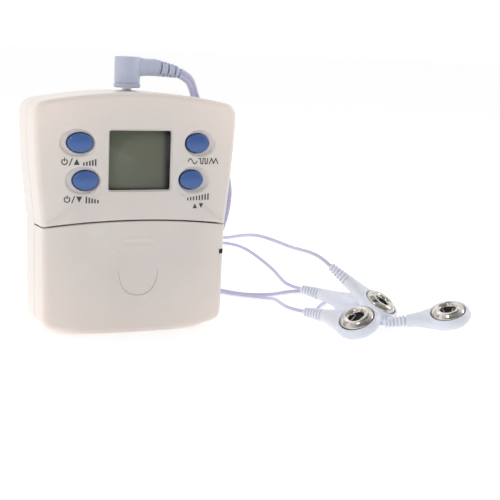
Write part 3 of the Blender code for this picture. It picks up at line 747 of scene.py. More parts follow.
def main_cord():
    lying = Vector((0.0, 0.0, 1.0))
    down = smooth_route(CORD_ROUTE + coil_points()[:3], 0.0012)
    entry = Vector(coil_points()[0])
    near = min(range(len(down)), key=lambda i: (down[i] - entry).length)
    hanging = down[: near + 1]
    tangents, wides = carried_frames(hanging, Vector((0.15, -0.10, 1.0)), lying)
    turns = [Vector(point) for point in coil_points()]
    skip = 1 if (turns[0] - hanging[-1]).length < 0.0008 else 0
    turns = turns[skip:]
    for i, point in enumerate(turns):
        ahead = turns[min(i + 1, len(turns) - 1)] - turns[max(i - 1, 0)]
        tangent = ahead.normalized()
        tangents.append(tangent)
        share = (i - len(turns) + 16) / 15
        side = Vector((point.x - COIL_CENTRE.x, point.y - COIL_CENTRE.y, 0.0)).normalized()
        wide = lying.lerp(side, ease(share))
        wides.append((wide - wide.dot(tangent) * tangent).normalized())
    path = hanging + turns
    section = twin_section()
    rows = []
    for point, tangent, wide in zip(path, tangents, wides):
        thin = tangent.cross(wide)
        rows.append([point + wide * a + thin * b for a, b in section])
    cord = add_form("main_cord_jacket", rows, CORD, 70)
    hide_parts("main_cord", "main_cord_coil")
    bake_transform(cord)
    return cord, path


def coil_tie():
    """A flat rubber band that goes round all the turns at one place."""
    reach = 0.0022
    inner = COIL_RADIUS - reach
    outer = COIL_RADIUS + reach
    low = 0.00012
    high = COIL_FLOOR_Z + 3 * LAYER_PITCH + CORD_WIDTH / 2 + 0.0002
    corner = 0.0011
    outline = []
    for radius, height, start in (
        (outer - corner, high - corner, 0.0),
        (inner + corner, high - corner, 90.0),
        (inner + corner, low + corner, 180.0),
        (outer - corner, low + corner, 270.0),
    ):
        for i in range(7):
            a = math.radians(start + 15 * i)
            outline.append((radius + corner * math.cos(a), height + corner * math.sin(a)))
    edge = 0.44
    band = ((-0.5, 0.0), (-edge, 1.0), (edge, 1.0), (0.5, 0.0), (edge, -0.35), (-edge, -0.35), (-0.5, 0.0))
    rows = []
    for across, grow in band:
        row = []
        for radius, height in outline:
            push = Vector((radius - COIL_RADIUS, height - (high + low) / 2)).normalized()
            r = radius + push.x * TIE_THICKNESS * grow
            h = max(0.00002, height + push.y * TIE_THICKNESS * grow * 0.5)
            row.append(coil_place(r, TIE_ANGLE + across * TIE_WIDTH / COIL_RADIUS, h))
        rows.append(row)
    tie = add_mesh("coil_tie", lambda bm: skin(bm, rows), TIE)
    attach(tie, "root")
    return tie


def splitter_frame():
    """The matrix of the lead splitter: its X axis points the way the leads leave it."""
    place = coil_place(COIL_RADIUS, SPLITTER_ANGLE, COIL_TOP_Z)
    return Matrix.Translation(place) @ Matrix.Rotation(SPLITTER_ANGLE - math.pi / 2, 4, "Z")


def lead_splitter():
    """A small moulded wedge where the twin cord becomes four leads, with a grip of shallow grooves."""
    placed = splitter_frame()
    rows = []
    half_height = 0.0018
    groove_pitch = 0.0016
    grooved = 0.0040
    steps = 60
    for step in range(steps + 1):
        x = -SPLITTER_LENGTH / 2 + SPLITTER_LENGTH * step / steps
        share = (x + SPLITTER_LENGTH / 2) / SPLITTER_LENGTH
        half_width = 0.0022 + 0.0014 * min(1.0, share / 0.55) ** 1.2
        end = min(1.0, (SPLITTER_LENGTH / 2 - abs(x)) / 0.0009)
        round_off = 0.55 + 0.45 * math.sqrt(max(0.0, 1 - (1 - end) ** 2))
        groove = 0.00022 * (math.sin(2 * math.pi * x / groove_pitch) > 0.35) * (abs(x) < grooved)
        ring = squarish(half_width - groove, half_height - groove, 0.5, 40)
        rows.append([placed @ Vector((x, y * round_off, z * round_off)) for y, z in ring])
    made = add_form("lead_splitter_body", rows, PEARL, 50)
    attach(made, "root")
    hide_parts("lead_splitter")
    return made


LEAD_ROUTES = {
    "lead_c": millimetres(
        (44.6, 116.1, 17.1), (48.6, 114.0, 17.1), (56.0, 109.0, 16.8), (64.0, 102.0, 16.2),
        (69.8, 92.0, 16.1), (71.8, 80.0, 17.0), (71.0, 67.0, 19.5), (69.9, 53.0, 22.1),
        (68.8, 37.0, 24.0), (69.8, 23.0, 23.8), (71.2, 9.5, 23.3),
    ),
    "lead_d": millimetres(
        (44.2, 114.6, 17.0), (48.8, 111.4, 16.8), (56.0, 105.4, 16.0), (64.5, 97.5, 14.6),
        (71.0, 87.5, 14.0), (74.4, 76.0, 14.4), (75.4, 63.0, 13.9), (75.9, 50.0, 11.8),
        (75.7, 38.0, 9.6), (73.8, 27.0, 8.2),
    ),
    "lead_b": millimetres(
        (43.6, 113.1, 16.9), (48.8, 109.9, 16.5), (53.4, 104.4, 12.9), (56.5, 97.4, 7.4),
        (57.8, 90.0, 2.9), (57.2, 82.0, 0.9), (55.0, 73.0, 0.7), (53.6, 63.0, 0.7),
        (54.6, 53.5, 0.7), (58.4, 44.6, 0.7), (64.0, 37.2, 0.7), (71.6, 34.9, 0.7),
        (80.4, 37.6, 0.7), (88.2, 38.6, 0.7), (92.6, 33.6, 0.7), (92.8, 25.8, 0.7),
        (89.0, 17.5, 0.7), (83.0, 10.5, 0.7), (77.5, 3.0, 0.7), (73.8, -6.0, 0.7),
        (73.2, -15.0, 0.7), (76.4, -22.2, 0.8),
    ),
    "lead_a": millimetres(
        (43.0, 111.6, 16.9), (47.8, 108.2, 16.5), (52.0, 103.0, 12.9), (54.8, 96.4, 7.4),
        (56.0, 89.4, 2.9), (55.4, 81.6, 0.9), (53.3, 73.0, 0.7), (51.9, 63.2, 0.7),
        (52.9, 52.8, 0.7), (56.8, 43.2, 0.7), (62.9, 35.4, 0.7), (66.8, 26.5, 1.2),
        (65.4, 16.0, 2.9), (61.8, 4.5, 4.4), (58.2, -7.0, 5.6),
    ),
}

# Each connector: the middle of its disc's flat side, the angle its neck points to, how far the neck is
# raised and how far it is rolled about its own axis, in degrees. They lie in a loose heap.
CONNECTORS = {
    "a": ((0.0708, -0.0419, 0.0037), 115.5, 0.5, 31.0),
    "b": ((0.1069, -0.0425, 0.0040), 144.6, -10.4, 20.4),
    "c": ((0.0889, -0.0198, 0.0041), 127.7, 33.5, 0.7),
    "d": ((0.0877, -0.0066, 0.0070), 120.1, 5.3, 185.6),
}


def connector_matrix(key):
    """Local +Z is the disc's axis and local -X the neck."""
    centre, neck, raised, rolled = CONNECTORS[key]
    turn = Matrix.Rotation(math.radians(neck - 180.0), 4, "Z")
    lift = Matrix.Rotation(math.radians(raised), 4, "Y")
    roll = Matrix.Rotation(math.radians(rolled), 4, "X")
    return Matrix.Translation(centre) @ turn @ lift @ roll


def lead_end(key):
    """The last two points of a lead: straight into the strain relief of its connector."""
    placed = connector_matrix(key)
    outward = (0.0040, GAP)
    return [tuple(placed @ Vector((-LEAD_RELIEF_END - away, 0.0, NECK_Z))) for away in outward]


def lead(name):
    """One thin lead, as a curve that runs a little way into the splitter and into its connector."""
    path = smooth_route(LEAD_ROUTES[name] + lead_end(name[-1]), 0.0009)
    inward = connector_matrix(name[-1]) @ Vector((-LEAD_RELIEF_END + 0.0015, 0.0, NECK_Z))
    path.append(inward)
    back = (path[0] - path[1]).normalized() * 0.0015
    path.insert(0, path[0] + back)
    line = bpy.data.curves.new(name + "_jacket", "CURVE")
    line.dimensions = "3D"
    line.bevel_depth = LEAD_DIAMETER / 2
    line.bevel_resolution = 4
    line.use_fill_caps = True
    spline = line.splines.new("POLY")
    spline.points.add(len(path) - 1)
    for place, point in zip(spline.points, path):
        place.co = (*point, 1.0)
    line.materials.append(LEAD)
    made = bpy.data.objects.new(name + "_jacket", line)
    SCENE.collection.objects.link(made)
    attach(made, "root")
    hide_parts(name)
    return made, path


# ---------------------------------------------------------------- snap connectors


def connector_body(key):
    """The moulded teardrop: a thick round disc, shoulders that run into the neck, and a ribbed relief."""
    placed = connector_matrix(key)
    top = DISC_THICKNESS
    floor = top - SOCKET_DEPTH
    above = top + 0.004
    seat = RING_RADIUS + GAP
    name = f"snap_connector_{key}"
    disc = turned(
        name + "_body",
        [
            (0.0, floor, 0.0),
            (seat, floor, 0.0),
            (seat, top - 0.0001, 0.0002),
            (seat + 0.0007, top, 0.0003),
            (DISC_RADIUS - 0.0003, top - 0.0012, 0.0009),
            (DISC_RADIUS, top - 0.0026, 0.0012),
            (DISC_RADIUS - 0.0011, 0.0006, 0.0012),
            (DISC_RADIUS - 0.0032, 0.0, 0.0010),
            (0.0, 0.0, 0.0),
        ],
        PEARL,
        120,
    )
    shoulder = add_mesh(name + "_shoulder", shoulder_form, PEARL)
    combine(disc, [shoulder], "UNION")
    seat_cut = turned(
        name + "_seat",
        [(0.0, above, 0.0), (seat, above, 0.0), (seat, floor, 0.0), (0.0, floor, 0.0)],
        PEARL,
        120,
    )
    combine(disc, [seat_cut])
    relief = add_mesh(name + "_relief", relief_form, PEARL, 30)
    disc.data.transform(placed)
    relief.data.transform(placed)
    for piece in (disc, relief):
        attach(piece, "root")
    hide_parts(name)
    return disc, relief


def shoulder_form(bm):
    """From the round neck, wider and wider, to the sides of the disc."""
    rows = []
    neck_radius = 0.0023
    shoulder_width = 0.0074
    for step in range(25):
        share = step / 24
        x = -NECK_END + 0.0128 * share
        blend = ease(share)
        half_width = neck_radius + (shoulder_width - neck_radius) * share**1.25
        ring = squarish(half_width, neck_radius - 0.0001 * blend, 1.0 - 0.45 * blend, 48)
        rows.append([(x, y, NECK_Z + z) for y, z in ring])
    skin(bm, rows, True, True, True)


def relief_form(bm):
    """Tapered strain relief: a core with six thick ribs."""
    rows = []
    start = -NECK_END
    end = -LEAD_RELIEF_END
    pitch = (start - 0.0006 - end) / RIBS
    profile = [(start + 0.0002, 0.0022), (start, 0.0022), (start - 0.0002, 0.0015)]
    for rib in range(RIBS):
        near = start - 0.0006 - rib * pitch
        radius = 0.00225 - 0.00058 * rib / (RIBS - 1)
        core = radius - 0.00062
        far = near - pitch * 0.62
        profile += [
            (near, core),
            (near - 0.00003, radius - 0.00015),
            (near - 0.00016, radius),
            (far + 0.00016, radius),
            (far + 0.00003, radius - 0.00015),
            (far, core),
        ]
    profile.append((end, 0.00095))
    for x, radius in profile:
        rows.append([(x, a, NECK_Z + b) for a, b, _ in circle(radius, 0.0, 40)])
    skin(bm, rows, True, True, True)


def spring_wires(bm, placed):
    """Two bowed wires across the socket's hole."""
    half = 0.0023
    wire_z = SOCKET_TOP - 0.0020
    for side in (-1.0, 1.0):
        rows = []
        for step in range(13):
            along = -half + 2 * half * step / 12
            bow = side * (0.00150 + 0.00035 * (along / half) ** 2)
            ring = circle(0.00028, 0.0, 10)
            rows.append([placed @ Vector((bow + a, along, wire_z + b)) for a, b, _ in ring])
        skin(bm, rows, True, True, True)


def connector_ring(key):
    """The plated socket: a rolled ring, its well, and two spring wires that grip the stud."""
    placed = connector_matrix(key)
    floor = DISC_THICKNESS - SOCKET_DEPTH + GAP
    top = SOCKET_TOP
    ring = turned(
        f"snap_ring_{key}_socket",
        [
            (RING_HOLE, floor, 0.0),
            (RING_HOLE, top - 0.0012, 0.0001),
            (RING_HOLE + 0.0004, top - 0.0003, 0.0005),
            (RING_HOLE + 0.0016, top, 0.0010),
            (RING_RADIUS - 0.0012, top - 0.0003, 0.0012),
            (RING_RADIUS, top - 0.0015, 0.0008),
            (RING_RADIUS - 0.0001, floor, 0.0),
            (RING_HOLE, floor, 0.0),
        ][::-1],
        CHROME,
        120,
        matrix=placed,
    )
    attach(ring, "root")
    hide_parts(f"snap_ring_{key}")

    wires = add_mesh(f"snap_ring_{key}_springs", lambda bm: spring_wires(bm, placed), STEEL)
    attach(wires, "root")
    wide = RING_HOLE + 0.0001
    low = floor + 0.00002
    rows = []
    for radius, height in ((wide, floor + 0.0002), (wide, low), (1e-6, low)):
        rows.append([placed @ Vector(point) for point in circle(radius, height, 64)])
    base = add_mesh(f"snap_ring_{key}_well", lambda bm: skin(bm, rows), BLACK)
    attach(base, "root")
    return ring, wires, base


def lead_set():
    cord, path = main_cord()
    tie = coil_tie()
    splitter = lead_splitter()
    for name in LEAD_ROUTES:
        jacket, line = lead(name)
        body, relief = connector_body(name[-1])
        ring, wires, base = connector_ring(name[-1])
    return length_of(path)


# ---------------------------------------------------------------- outline of the housing


def half_width(z):
    if z < SPLIT_SIDE_Z:
        return BOTTOM_HALF_WIDTH + (WAIST_HALF_WIDTH - BOTTOM_HALF_WIDTH) * z / SPLIT_SIDE_Z
    rise = min(1.0, (z - SPLIT_SIDE_Z) / (TOP_SIDE_Z - SPLIT_SIDE_Z))
    return WAIST_HALF_WIDTH + (TOP_HALF_WIDTH - WAIST_HALF_WIDTH) * math.sin(rise * math.pi / 2)


def top_edge(x):
    return HEIGHT - TOP_ARCH * (x / TOP_HALF_WIDTH) ** 2


def bottom_edge(x):
    out = max(0.0, abs(x) - FLAT_FOOT) / (BOTTOM_HALF_WIDTH - FLAT_FOOT)
    return BOTTOM_ARCH * out**2


def split_z(x):
    return SPLIT_SIDE_Z + SPLIT_ARCH * (1.0 - (x / WAIST_HALF_WIDTH) ** 2)


def face_bulge(x):
    return FACE_BULGE * (1.0 - (x / TOP_HALF_WIDTH) ** 2)


def rounded_corner(before, corner, after, segments):
    points = []
    for i in range(1, segments):
        t = i / segments
        mixed = zip(before, corner, after)
        points.append(tuple((1 - t) ** 2 * a + 2 * t * (1 - t) * b + t * t * c for a, b, c in mixed))
    return points


def right_half_below(top_z, count):
    """Points (x, z) of the right half, from the middle of the foot up to top_z on the side."""
    last = BOTTOM_HALF_WIDTH - BOTTOM_CORNER
    foot = [(x, bottom_edge(x)) for x in np.linspace(0.0, last, FOOT_POINTS)]
    side = [(half_width(z), z) for z in np.linspace(BOTTOM_ARCH + BOTTOM_CORNER, top_z, count)]
    turn = rounded_corner(foot[-1], (BOTTOM_HALF_WIDTH, BOTTOM_ARCH), side[0], CORNER_POINTS)
    return foot + turn + side


def right_half_above(low_z, count):
    """Points (x, z) of the right half, from low_z on the side up to the middle of the top."""
    last = TOP_HALF_WIDTH - TOP_CORNER
    crown = [(x, top_edge(x)) for x in np.linspace(last, 0.0, CROWN_POINTS)]
    side = [(half_width(z), z) for z in np.linspace(low_z, TOP_SIDE_Z - TOP_CORNER, count)]
    turn = rounded_corner(side[-1], (TOP_HALF_WIDTH, TOP_SIDE_Z), crown[0], CORNER_POINTS)
    return side + turn + crown


def mirrored(points):
    return [(-x, z) for x, z in reversed(points)]


def inset(outline, distances, closed=True):
    """The outline's points moved inward, each by its own distance."""
    moved = []
    count = len(outline)
    for i, (x, z) in enumerate(outline):
        before = outline[i - 1] if closed or i else outline[i]
        after = outline[(i + 1) % count] if closed or i < count - 1 else outline[i]
        along = Vector((after[0] - before[0], after[1] - before[1])).normalized()
        moved.append((x - along.y * distances[i], z + along.x * distances[i]))
    return moved


def key_dish(x, z):
    """Depth of the shallow dish round each key, which reaches further on the side away from the display."""
    depth = 0.0
    for _, key_x, key_z in KEYS:
        out = math.copysign(DISH_OFFSET, key_x)
        away = math.hypot((x - key_x - out) / DISH_REACH[0], (z - key_z) / DISH_REACH[1])
        depth = max(depth, 1.0 - smoothstep(*DISH_SLOPE, away))
    return DISH_DEPTH * depth


def grip_pattern(x, z):
    """Thumb grip of the battery cover: a shallow shield-shaped hollow under a short curved ridge."""
    across = min(1.0, abs(x) / GRIP_HALF_WIDTH)
    low_z = GRIP_TOP_Z - GRIP_HEIGHT * math.sqrt(1.0 - across**2.3)
    sides = 1.0 - smoothstep(-0.0004, 0.0004, low_z - z)
    deep = smoothstep(GRIP_TOP_Z + 0.001, GRIP_TOP_Z - 0.007, z)
    hollow = GRIP_DEPTH * sides * deep * (across < 1.0)
    arc_z = RIDGE_TOP_Z - RIDGE_CURVE * x * x
    fade = 1.0 - smoothstep(*RIDGE_ENDS, abs(x))
    ridge = RIDGE_HEIGHT * math.exp(-(((z - arc_z) / 0.0005) ** 2)) * fade
    under = GRIP_DEPTH * math.exp(-(((z - arc_z + 0.0014) / 0.0007) ** 2)) * fade
    return hollow + under - ridge


def edge_drop(distance, radius):
    """How far a rounded edge falls back at this distance from the side."""
    if distance >= radius:
        return 0.0
    return radius - math.sqrt(max(0.0, radius**2 - (radius - distance) ** 2))


def grip_groove():
    """The fine shield-shaped line round the thumb grip."""
    rows = []
    for step in range(61):
        a = math.pi * step / 60
        x = GRIP_HALF_WIDTH * math.copysign(abs(math.cos(a)) ** 0.87, math.cos(a))
        z = GRIP_TOP_Z - GRIP_HEIGHT * math.sin(a) ** 0.87
        inward = Vector((-math.cos(a), 0.0, math.sin(a) * 0.8)).normalized()
        middle = Vector((x, SIDE_FRONT_Y - face_bulge(x) + 0.00008, z))
        end = 0.35 + 0.65 * min(1.0, math.sin(a) * 2.2)
        ring = circle(0.00024 * end, 0.0, 12)
        rows.append([middle + inward * p[0] + Vector((0.0, p[1], 0.0)) for p in ring])
    return add_form("grip_groove_cutter", rows, CREAM)


def cover_rows(outer, split, seam, relief, middle_z):
    """Rings of a front cover. outer holds the (x, z) points of its sides and split the x of those along
    the split, in one anticlockwise loop. relief(x, z) is how deep the face is pressed in at a point."""
    rows = []
    split_sign = 1.0 if seam == 0.0 else -1.0
    side_x = half_width(SPLIT_SIDE_Z)

    def split_point(x, inward_side, inward_split):
        scale = 1.0 - inward_side / WAIST_HALF_WIDTH
        moved = x * scale
        return moved, split_z(moved) + seam + split_sign * inward_split

    def surface(x):
        return SIDE_FRONT_Y - face_bulge(x) + edge_drop(side_x - abs(x), FRONT_EDGE)

    lip = [split_point(x, 0.0, 0.0) for x in split]
    rows.append(
        [(x, PARTING_Y, z) for x, z in outer] + [(x, surface(x) + SPLIT_LIP, z) for x, z in lip]
    )
    for angle in EDGE_ANGLES:
        side_in = FRONT_EDGE * (1.0 - math.cos(angle))
        split_in = SPLIT_ROUNDING * (1.0 - math.cos(angle))
        row = []
        for x, z in inset(outer, [side_in] * len(outer), False):
            y = SIDE_FRONT_Y + FRONT_EDGE * (1.0 - math.sin(angle)) - face_bulge(x)
            row.append((x, y, z))
        for x in split:
            moved, z = split_point(x, side_in, split_in)
            row.append((moved, surface(moved) + SPLIT_ROUNDING * (1.0 - math.sin(angle)), z))
        rows.append(row)
    rim = [(x, z) for x, _, z in rows[-1]]
    for ring in shrunk(rim, middle_z, FRONT_RINGS):
        rows.append([(x, SIDE_FRONT_Y - face_bulge(x) + relief(x, z), z) for x, z in ring])
    return rows


def shrunk(rim, middle_z, count):
    """Rings from the rim of a face in to its middle."""
    for i in range(1, count + 1):
        factor = max(LEAST_RING, 1.0 - i / count)
        yield [(x * factor, middle_z + (z - middle_z) * factor) for x, z in rim]


def cover_shell(name, rows, thickness):
    made = add_mesh(name, lambda bm: skin(bm, rows, True, False, True), CREAM, 50)
    wall = made.modifiers.new("wall", "SOLIDIFY")
    wall.thickness = thickness
    wall.offset = -1.0
    apply_modifiers(made)
    return made


def box_form(name, size, centre):
    def build(bm):
        bmesh.ops.create_cube(bm, size=1.0)
        bmesh.ops.scale(bm, vec=size, verts=bm.verts)
        bmesh.ops.translate(bm, vec=centre, verts=bm.verts)

    return add_mesh(name, build, CREAM)


def rounded_rectangle(width, height, radius, steps=8):
    points = []
    for sign_x, sign_z, start in ((1, 1, 0), (-1, 1, 90), (-1, -1, 180), (1, -1, 270)):
        for i in range(steps + 1):
            a = math.radians(start + 90 * i / steps)
            x = sign_x * (width / 2 - radius) + radius * math.cos(a)
            points.append((x, sign_z * (height / 2 - radius) + radius * math.sin(a)))
    return points


def window_cutter():
    """The display opening, with a sloped rim on the face."""
    rows = []
    for y, grow in ((-0.0150, 0.0011), (-0.0121, 0.00045), (-0.0116, 0.0), (-0.0060, -0.0001)):
        ring = rounded_rectangle(WINDOW[0] + 2 * grow, WINDOW[1] + 2 * grow, 0.0007 + grow)
        rows.append([(x, y, WINDOW_Z + z) for x, z in ring])
    return add_form("window_cutter", rows, CREAM)


def key_cutter(name, x, z):
    """An elliptical hole whose mouth opens a little, square to the face at that place."""
    lean = math.atan(2 * FACE_BULGE * x / TOP_HALF_WIDTH**2)
    face = SIDE_FRONT_Y - face_bulge(x) + DISH_DEPTH
    placed = Matrix.Translation((x, face, z)) @ Matrix.Rotation(lean, 4, "Z")
    half = (KEY_HOLE[0] / 2, KEY_HOLE[1] / 2)
    rows = []
    for y, grow in ((-0.0030, 0.0012), (-0.0001, 0.00032), (0.00026, 0.0), (0.0045, 0.0)):
        ring = [(a * (half[0] + grow), y, b * (half[1] + grow)) for a, b, _ in circle(1.0, 0.0, 72)]
        rows.append([placed @ Vector(point) for point in ring])
    return add_form(f"{name}_cutter", rows, CREAM)


def front_cover():
    above = right_half_above(SPLIT_SIDE_Z, 60)
    outer = above + mirrored(above)[1:]
    split = np.linspace(-WAIST_HALF_WIDTH, WAIST_HALF_WIDTH, SPLIT_POINTS)[1:-1]
    rows = cover_rows(outer, split, 0.0, key_dish, 0.0600)
    made = cover_shell("front_cover_skin", rows, WALL)
    cutters = [window_cutter()] + [key_cutter(name, x, z) for name, x, z in KEYS]
    combine(made, cutters)
    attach(made, "root")
    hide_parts("front_cover")


def battery_cover():
    below = right_half_below(SPLIT_SIDE_Z - SEAM, 50)
    outer = mirrored(below)[:-1] + below
    split = np.linspace(WAIST_HALF_WIDTH, -WAIST_HALF_WIDTH, SPLIT_POINTS)[1:-1]
    rows = cover_rows(outer, split, -SEAM, grip_pattern, 0.0195)
    made = cover_shell("battery_cover_skin", rows, WALL)
    slot = box_form("latch_slot_cutter", LATCH_SLOT, LATCH_PLACE)
    combine(made, [slot, grip_groove()])
    # Painted shade: the faces of the latch slot's pocket take the black plastic, so that the pocket reads
    # dark.
    made.data.materials.append(BLACK)
    for face in made.data.polygons:
        offsets = zip(face.center, LATCH_PLACE, LATCH_SLOT)
        if all(abs(value - middle) < size / 2 + 0.00001 for value, middle, size in offsets):
            face.material_index = 1
    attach(made, "battery_cover_body")
    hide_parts("battery_cover")


def rod(name, radius, centre, length, axis, steps=64):
    """A plain closed cylinder for cutting and joining."""
    turn = Matrix.Rotation(-math.pi / 2, 4, "X") if axis == "Y" else Matrix.Identity(4)
    placed = Matrix.Translation(centre) @ turn
    profile = [(0.0, length / 2), (radius, length / 2), (radius, -length / 2), (0.0, -length / 2)]
    return add_mesh(name, lambda bm: turn_profile(bm, profile, steps, 1.0, placed), CREAM)


def back_relief(x, z):
    """Depth of the back's pressed-in pattern: a blank label recess, and grip lines under it."""
    recess = smoothstep(*LABEL_SIDE, abs(x)) * smoothstep(*LABEL_END, abs(z - LABEL_Z))
    lines = 0.5 + 0.5 * math.cos(2 * math.pi * (z - LINES_START_Z) / LINES_PITCH)
    grip = lines**3 * smoothstep(*LINES_SIDE, abs(x)) * smoothstep(*LINES_END, abs(z - LINES_Z))
    return LABEL_DEPTH * recess + LINES_DEPTH * grip


def rear_cover():
    below = right_half_below(SPLIT_SIDE_Z, 40)
    right = below + right_half_above(SPLIT_SIDE_Z, 50)[1:]
    outline = right + mirrored(right)[1:-1]
    rows = [[(x, PARTING_Y + GAP, z) for x, z in outline]]
    for angle in EDGE_ANGLES:
        ring = inset(outline, [BACK_EDGE * (1.0 - math.cos(angle))] * len(outline))
        y = DEPTH / 2 - BACK_EDGE * (1.0 - math.sin(angle))
        rows.append([(x, y, z) for x, z in ring])
    rim = [(x, z) for x, _, z in rows[-1]]
    for ring in shrunk(rim, HEIGHT / 2, BACK_RINGS):
        rows.append([(x, DEPTH / 2 - back_relief(x, z), z) for x, z in ring])
    made = cover_shell("rear_cover_skin", rows, WALL)
    bosses = []
    cutters = [rod("nozzle_cutter", NOZZLE_RADIUS + GAP, (0.0, JACK_Y, HEIGHT), 0.008, "Z")]
    for side, x, z, head_y in SCREW_PLACES:
        back_y = DEPTH / 2 - 0.0005
        front_y = head_y - 0.0020
        middle = (x, (front_y + back_y) / 2, z)
        bosses.append(rod(f"boss_{side}", BOSS_RADIUS, middle, back_y - front_y, "Y"))
        for kind, radius, y in (
            ("sink", SCREW_HEAD_RADIUS, head_y - GAP + 0.006),
            ("through", SCREW_SHANK_RADIUS, head_y - 0.002),
        ):
            cutters.append(rod(f"{kind}_{side}", radius + GAP, (x, y, z), 0.012, "Y"))
    combine(made, bosses, "UNION")
    combine(made, cutters)
    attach(made, "root")
    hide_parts("rear_cover")


def case_screws():
    """Pan-head screws with a cross recess."""
    head = SCREW_HEAD_RADIUS
    for side, x, z, head_y in SCREW_PLACES:
        placed = Matrix.Translation((x, head_y, z)) @ Matrix.Rotation(-math.pi / 2, 4, "X")
        screw = turned(
            f"case_screw_{side}_fine",
            [
                (0.0, 0.0014, 0.0),
                (head * 0.75, 0.0013, 0.0006),
                (head, 0.0004, 0.0004),
                (head, 0.0, 0.0001),
                (SCREW_SHANK_RADIUS, 0.0, 0.0),
                (SCREW_SHANK_RADIUS, -0.0050, 0.0),
                (0.0, -0.0060, 0.0),
            ],
            STEEL,
            64,
            matrix=placed,
        )
        cuts = []
        for turn in (0.0, math.pi / 2):
            name = f"recess_{side}_{round(turn)}"
            cut = box_form(name, (0.0026, 0.0005, 0.0012), (0.0, 0.0, 0.0014))
            cut.data.transform(placed @ Matrix.Rotation(turn + 0.4, 4, "Z"))
            cuts.append(cut)
        combine(screw, cuts)
        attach(screw, "root")
        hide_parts(f"case_screw_{side}")


# ---------------------------------------------------------------- keys and display


def keys():
    """Domed elliptical caps with a rolled shoulder, a flange behind the face and a stem."""
    long_side = KEY_HOLE[0] / 2 - GAP
    squeeze = (KEY_HOLE[1] / 2 - GAP) / long_side
    for name, x, z in KEYS:
        crown = SIDE_FRONT_Y - face_bulge(x) - 0.0009
        placed = Matrix.Translation((x, 0.0, z)) @ Matrix.Rotation(math.pi / 2, 4, "X")
        dome = [(0.0, -crown, 0.0)]
        for i in range(1, 9):
            share = i / 8
            dome.append((long_side * 0.90 * share, -crown - 0.00052 * share**2.2, 0.0002))
        profile = dome + [
            (long_side, -crown - 0.00085, 0.0004),
            (long_side, FLANGE[0], 0.0),
            (long_side + 0.0009, FLANGE[0], 0.0001),
            (long_side + 0.0009, FLANGE[1], 0.0001),
            (STEM_RADIUS, FLANGE[1], 0.0),
            (STEM_RADIUS, STEM_END, 0.0),
            (0.0, STEM_END, 0.0),
        ]
        cap = turned(f"key_cap_{name}", profile, BLUE, 96, squeeze, placed, 55)
        body = f"key_{name}"
        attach(cap, body)
        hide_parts(f"button_{name}")
        finish_nodes([f"contact_pill_{name}"], CARBON)


def plate(name, size, depth, radius, finish, bevel=0.0002):
    """A flat piece with rounded corners and softened edges, facing -Y."""
    rows = []
    front, back = depth
    for y, grow in ((front, -bevel), (front + bevel, 0.0), (back - bevel, 0.0), (back, -bevel)):
        ring = rounded_rectangle(size[0] + 2 * grow, size[1] + 2 * grow, radius)
        rows.append([(x, y, WINDOW_Z + z) for x, z in ring])
    return add_form(name, rows, finish)


def display():
    lens = plate("display_lens", LENS_SIZE, LENS_Y, 0.0008, LENS)
    film = plate("display_film", FILM_SIZE, FILM_Y, 0.0004, FILM, 0.0001)
    for piece, node, slot_name in (
        (lens, "lcd_window", "display_lens"),
        (film, "lcd_glass", "display_glass"),
    ):
        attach(piece, "root")
        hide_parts(node)
    finish_nodes(["lcd_frame"], BLACK)
    finish_nodes(["lcd_contact_strip"], CARBON)


# ---------------------------------------------------------------- printed symbols


def stroke(points, width):
    """The outline of a straight-sided line through points, as quads."""
    quads = []
    for a, b in zip(points, points[1:]):
        along = Vector((b[0] - a[0], b[1] - a[1])).normalized() * (width / 2)
        side = Vector((-along.y, along.x))
        a = Vector(a) - along
        b = Vector(b) + along
        quads.append([a + side, b + side, b - side, a - side])
    return quads


def arc(radius, start, end, steps=14):
    points = []
    for i in range(steps + 1):
        a = math.radians(start + (end - start) * i / steps)
        points.append((radius * math.cos(a), radius * math.sin(a)))
    return points


def triangle(half, up):
    return [[(-half, -half * up), (half, -half * up), (0.0, half * up)]]


def wave(form):
    """Two periods of a sine, a square or a triangle wave."""
    points = []
    for i in range(25):
        share = i / 24
        if form == "sine":
            rise = math.sin(2 * math.pi * share)
        elif form == "square":
            rise = 1.0 if share % 0.5 < 0.25 else -1.0
        else:
            rise = 1.0 - 4.0 * abs((share * 2) % 1.0 - 0.5)
        points.append((0.0034 * share, 0.00088 * rise))
    return points


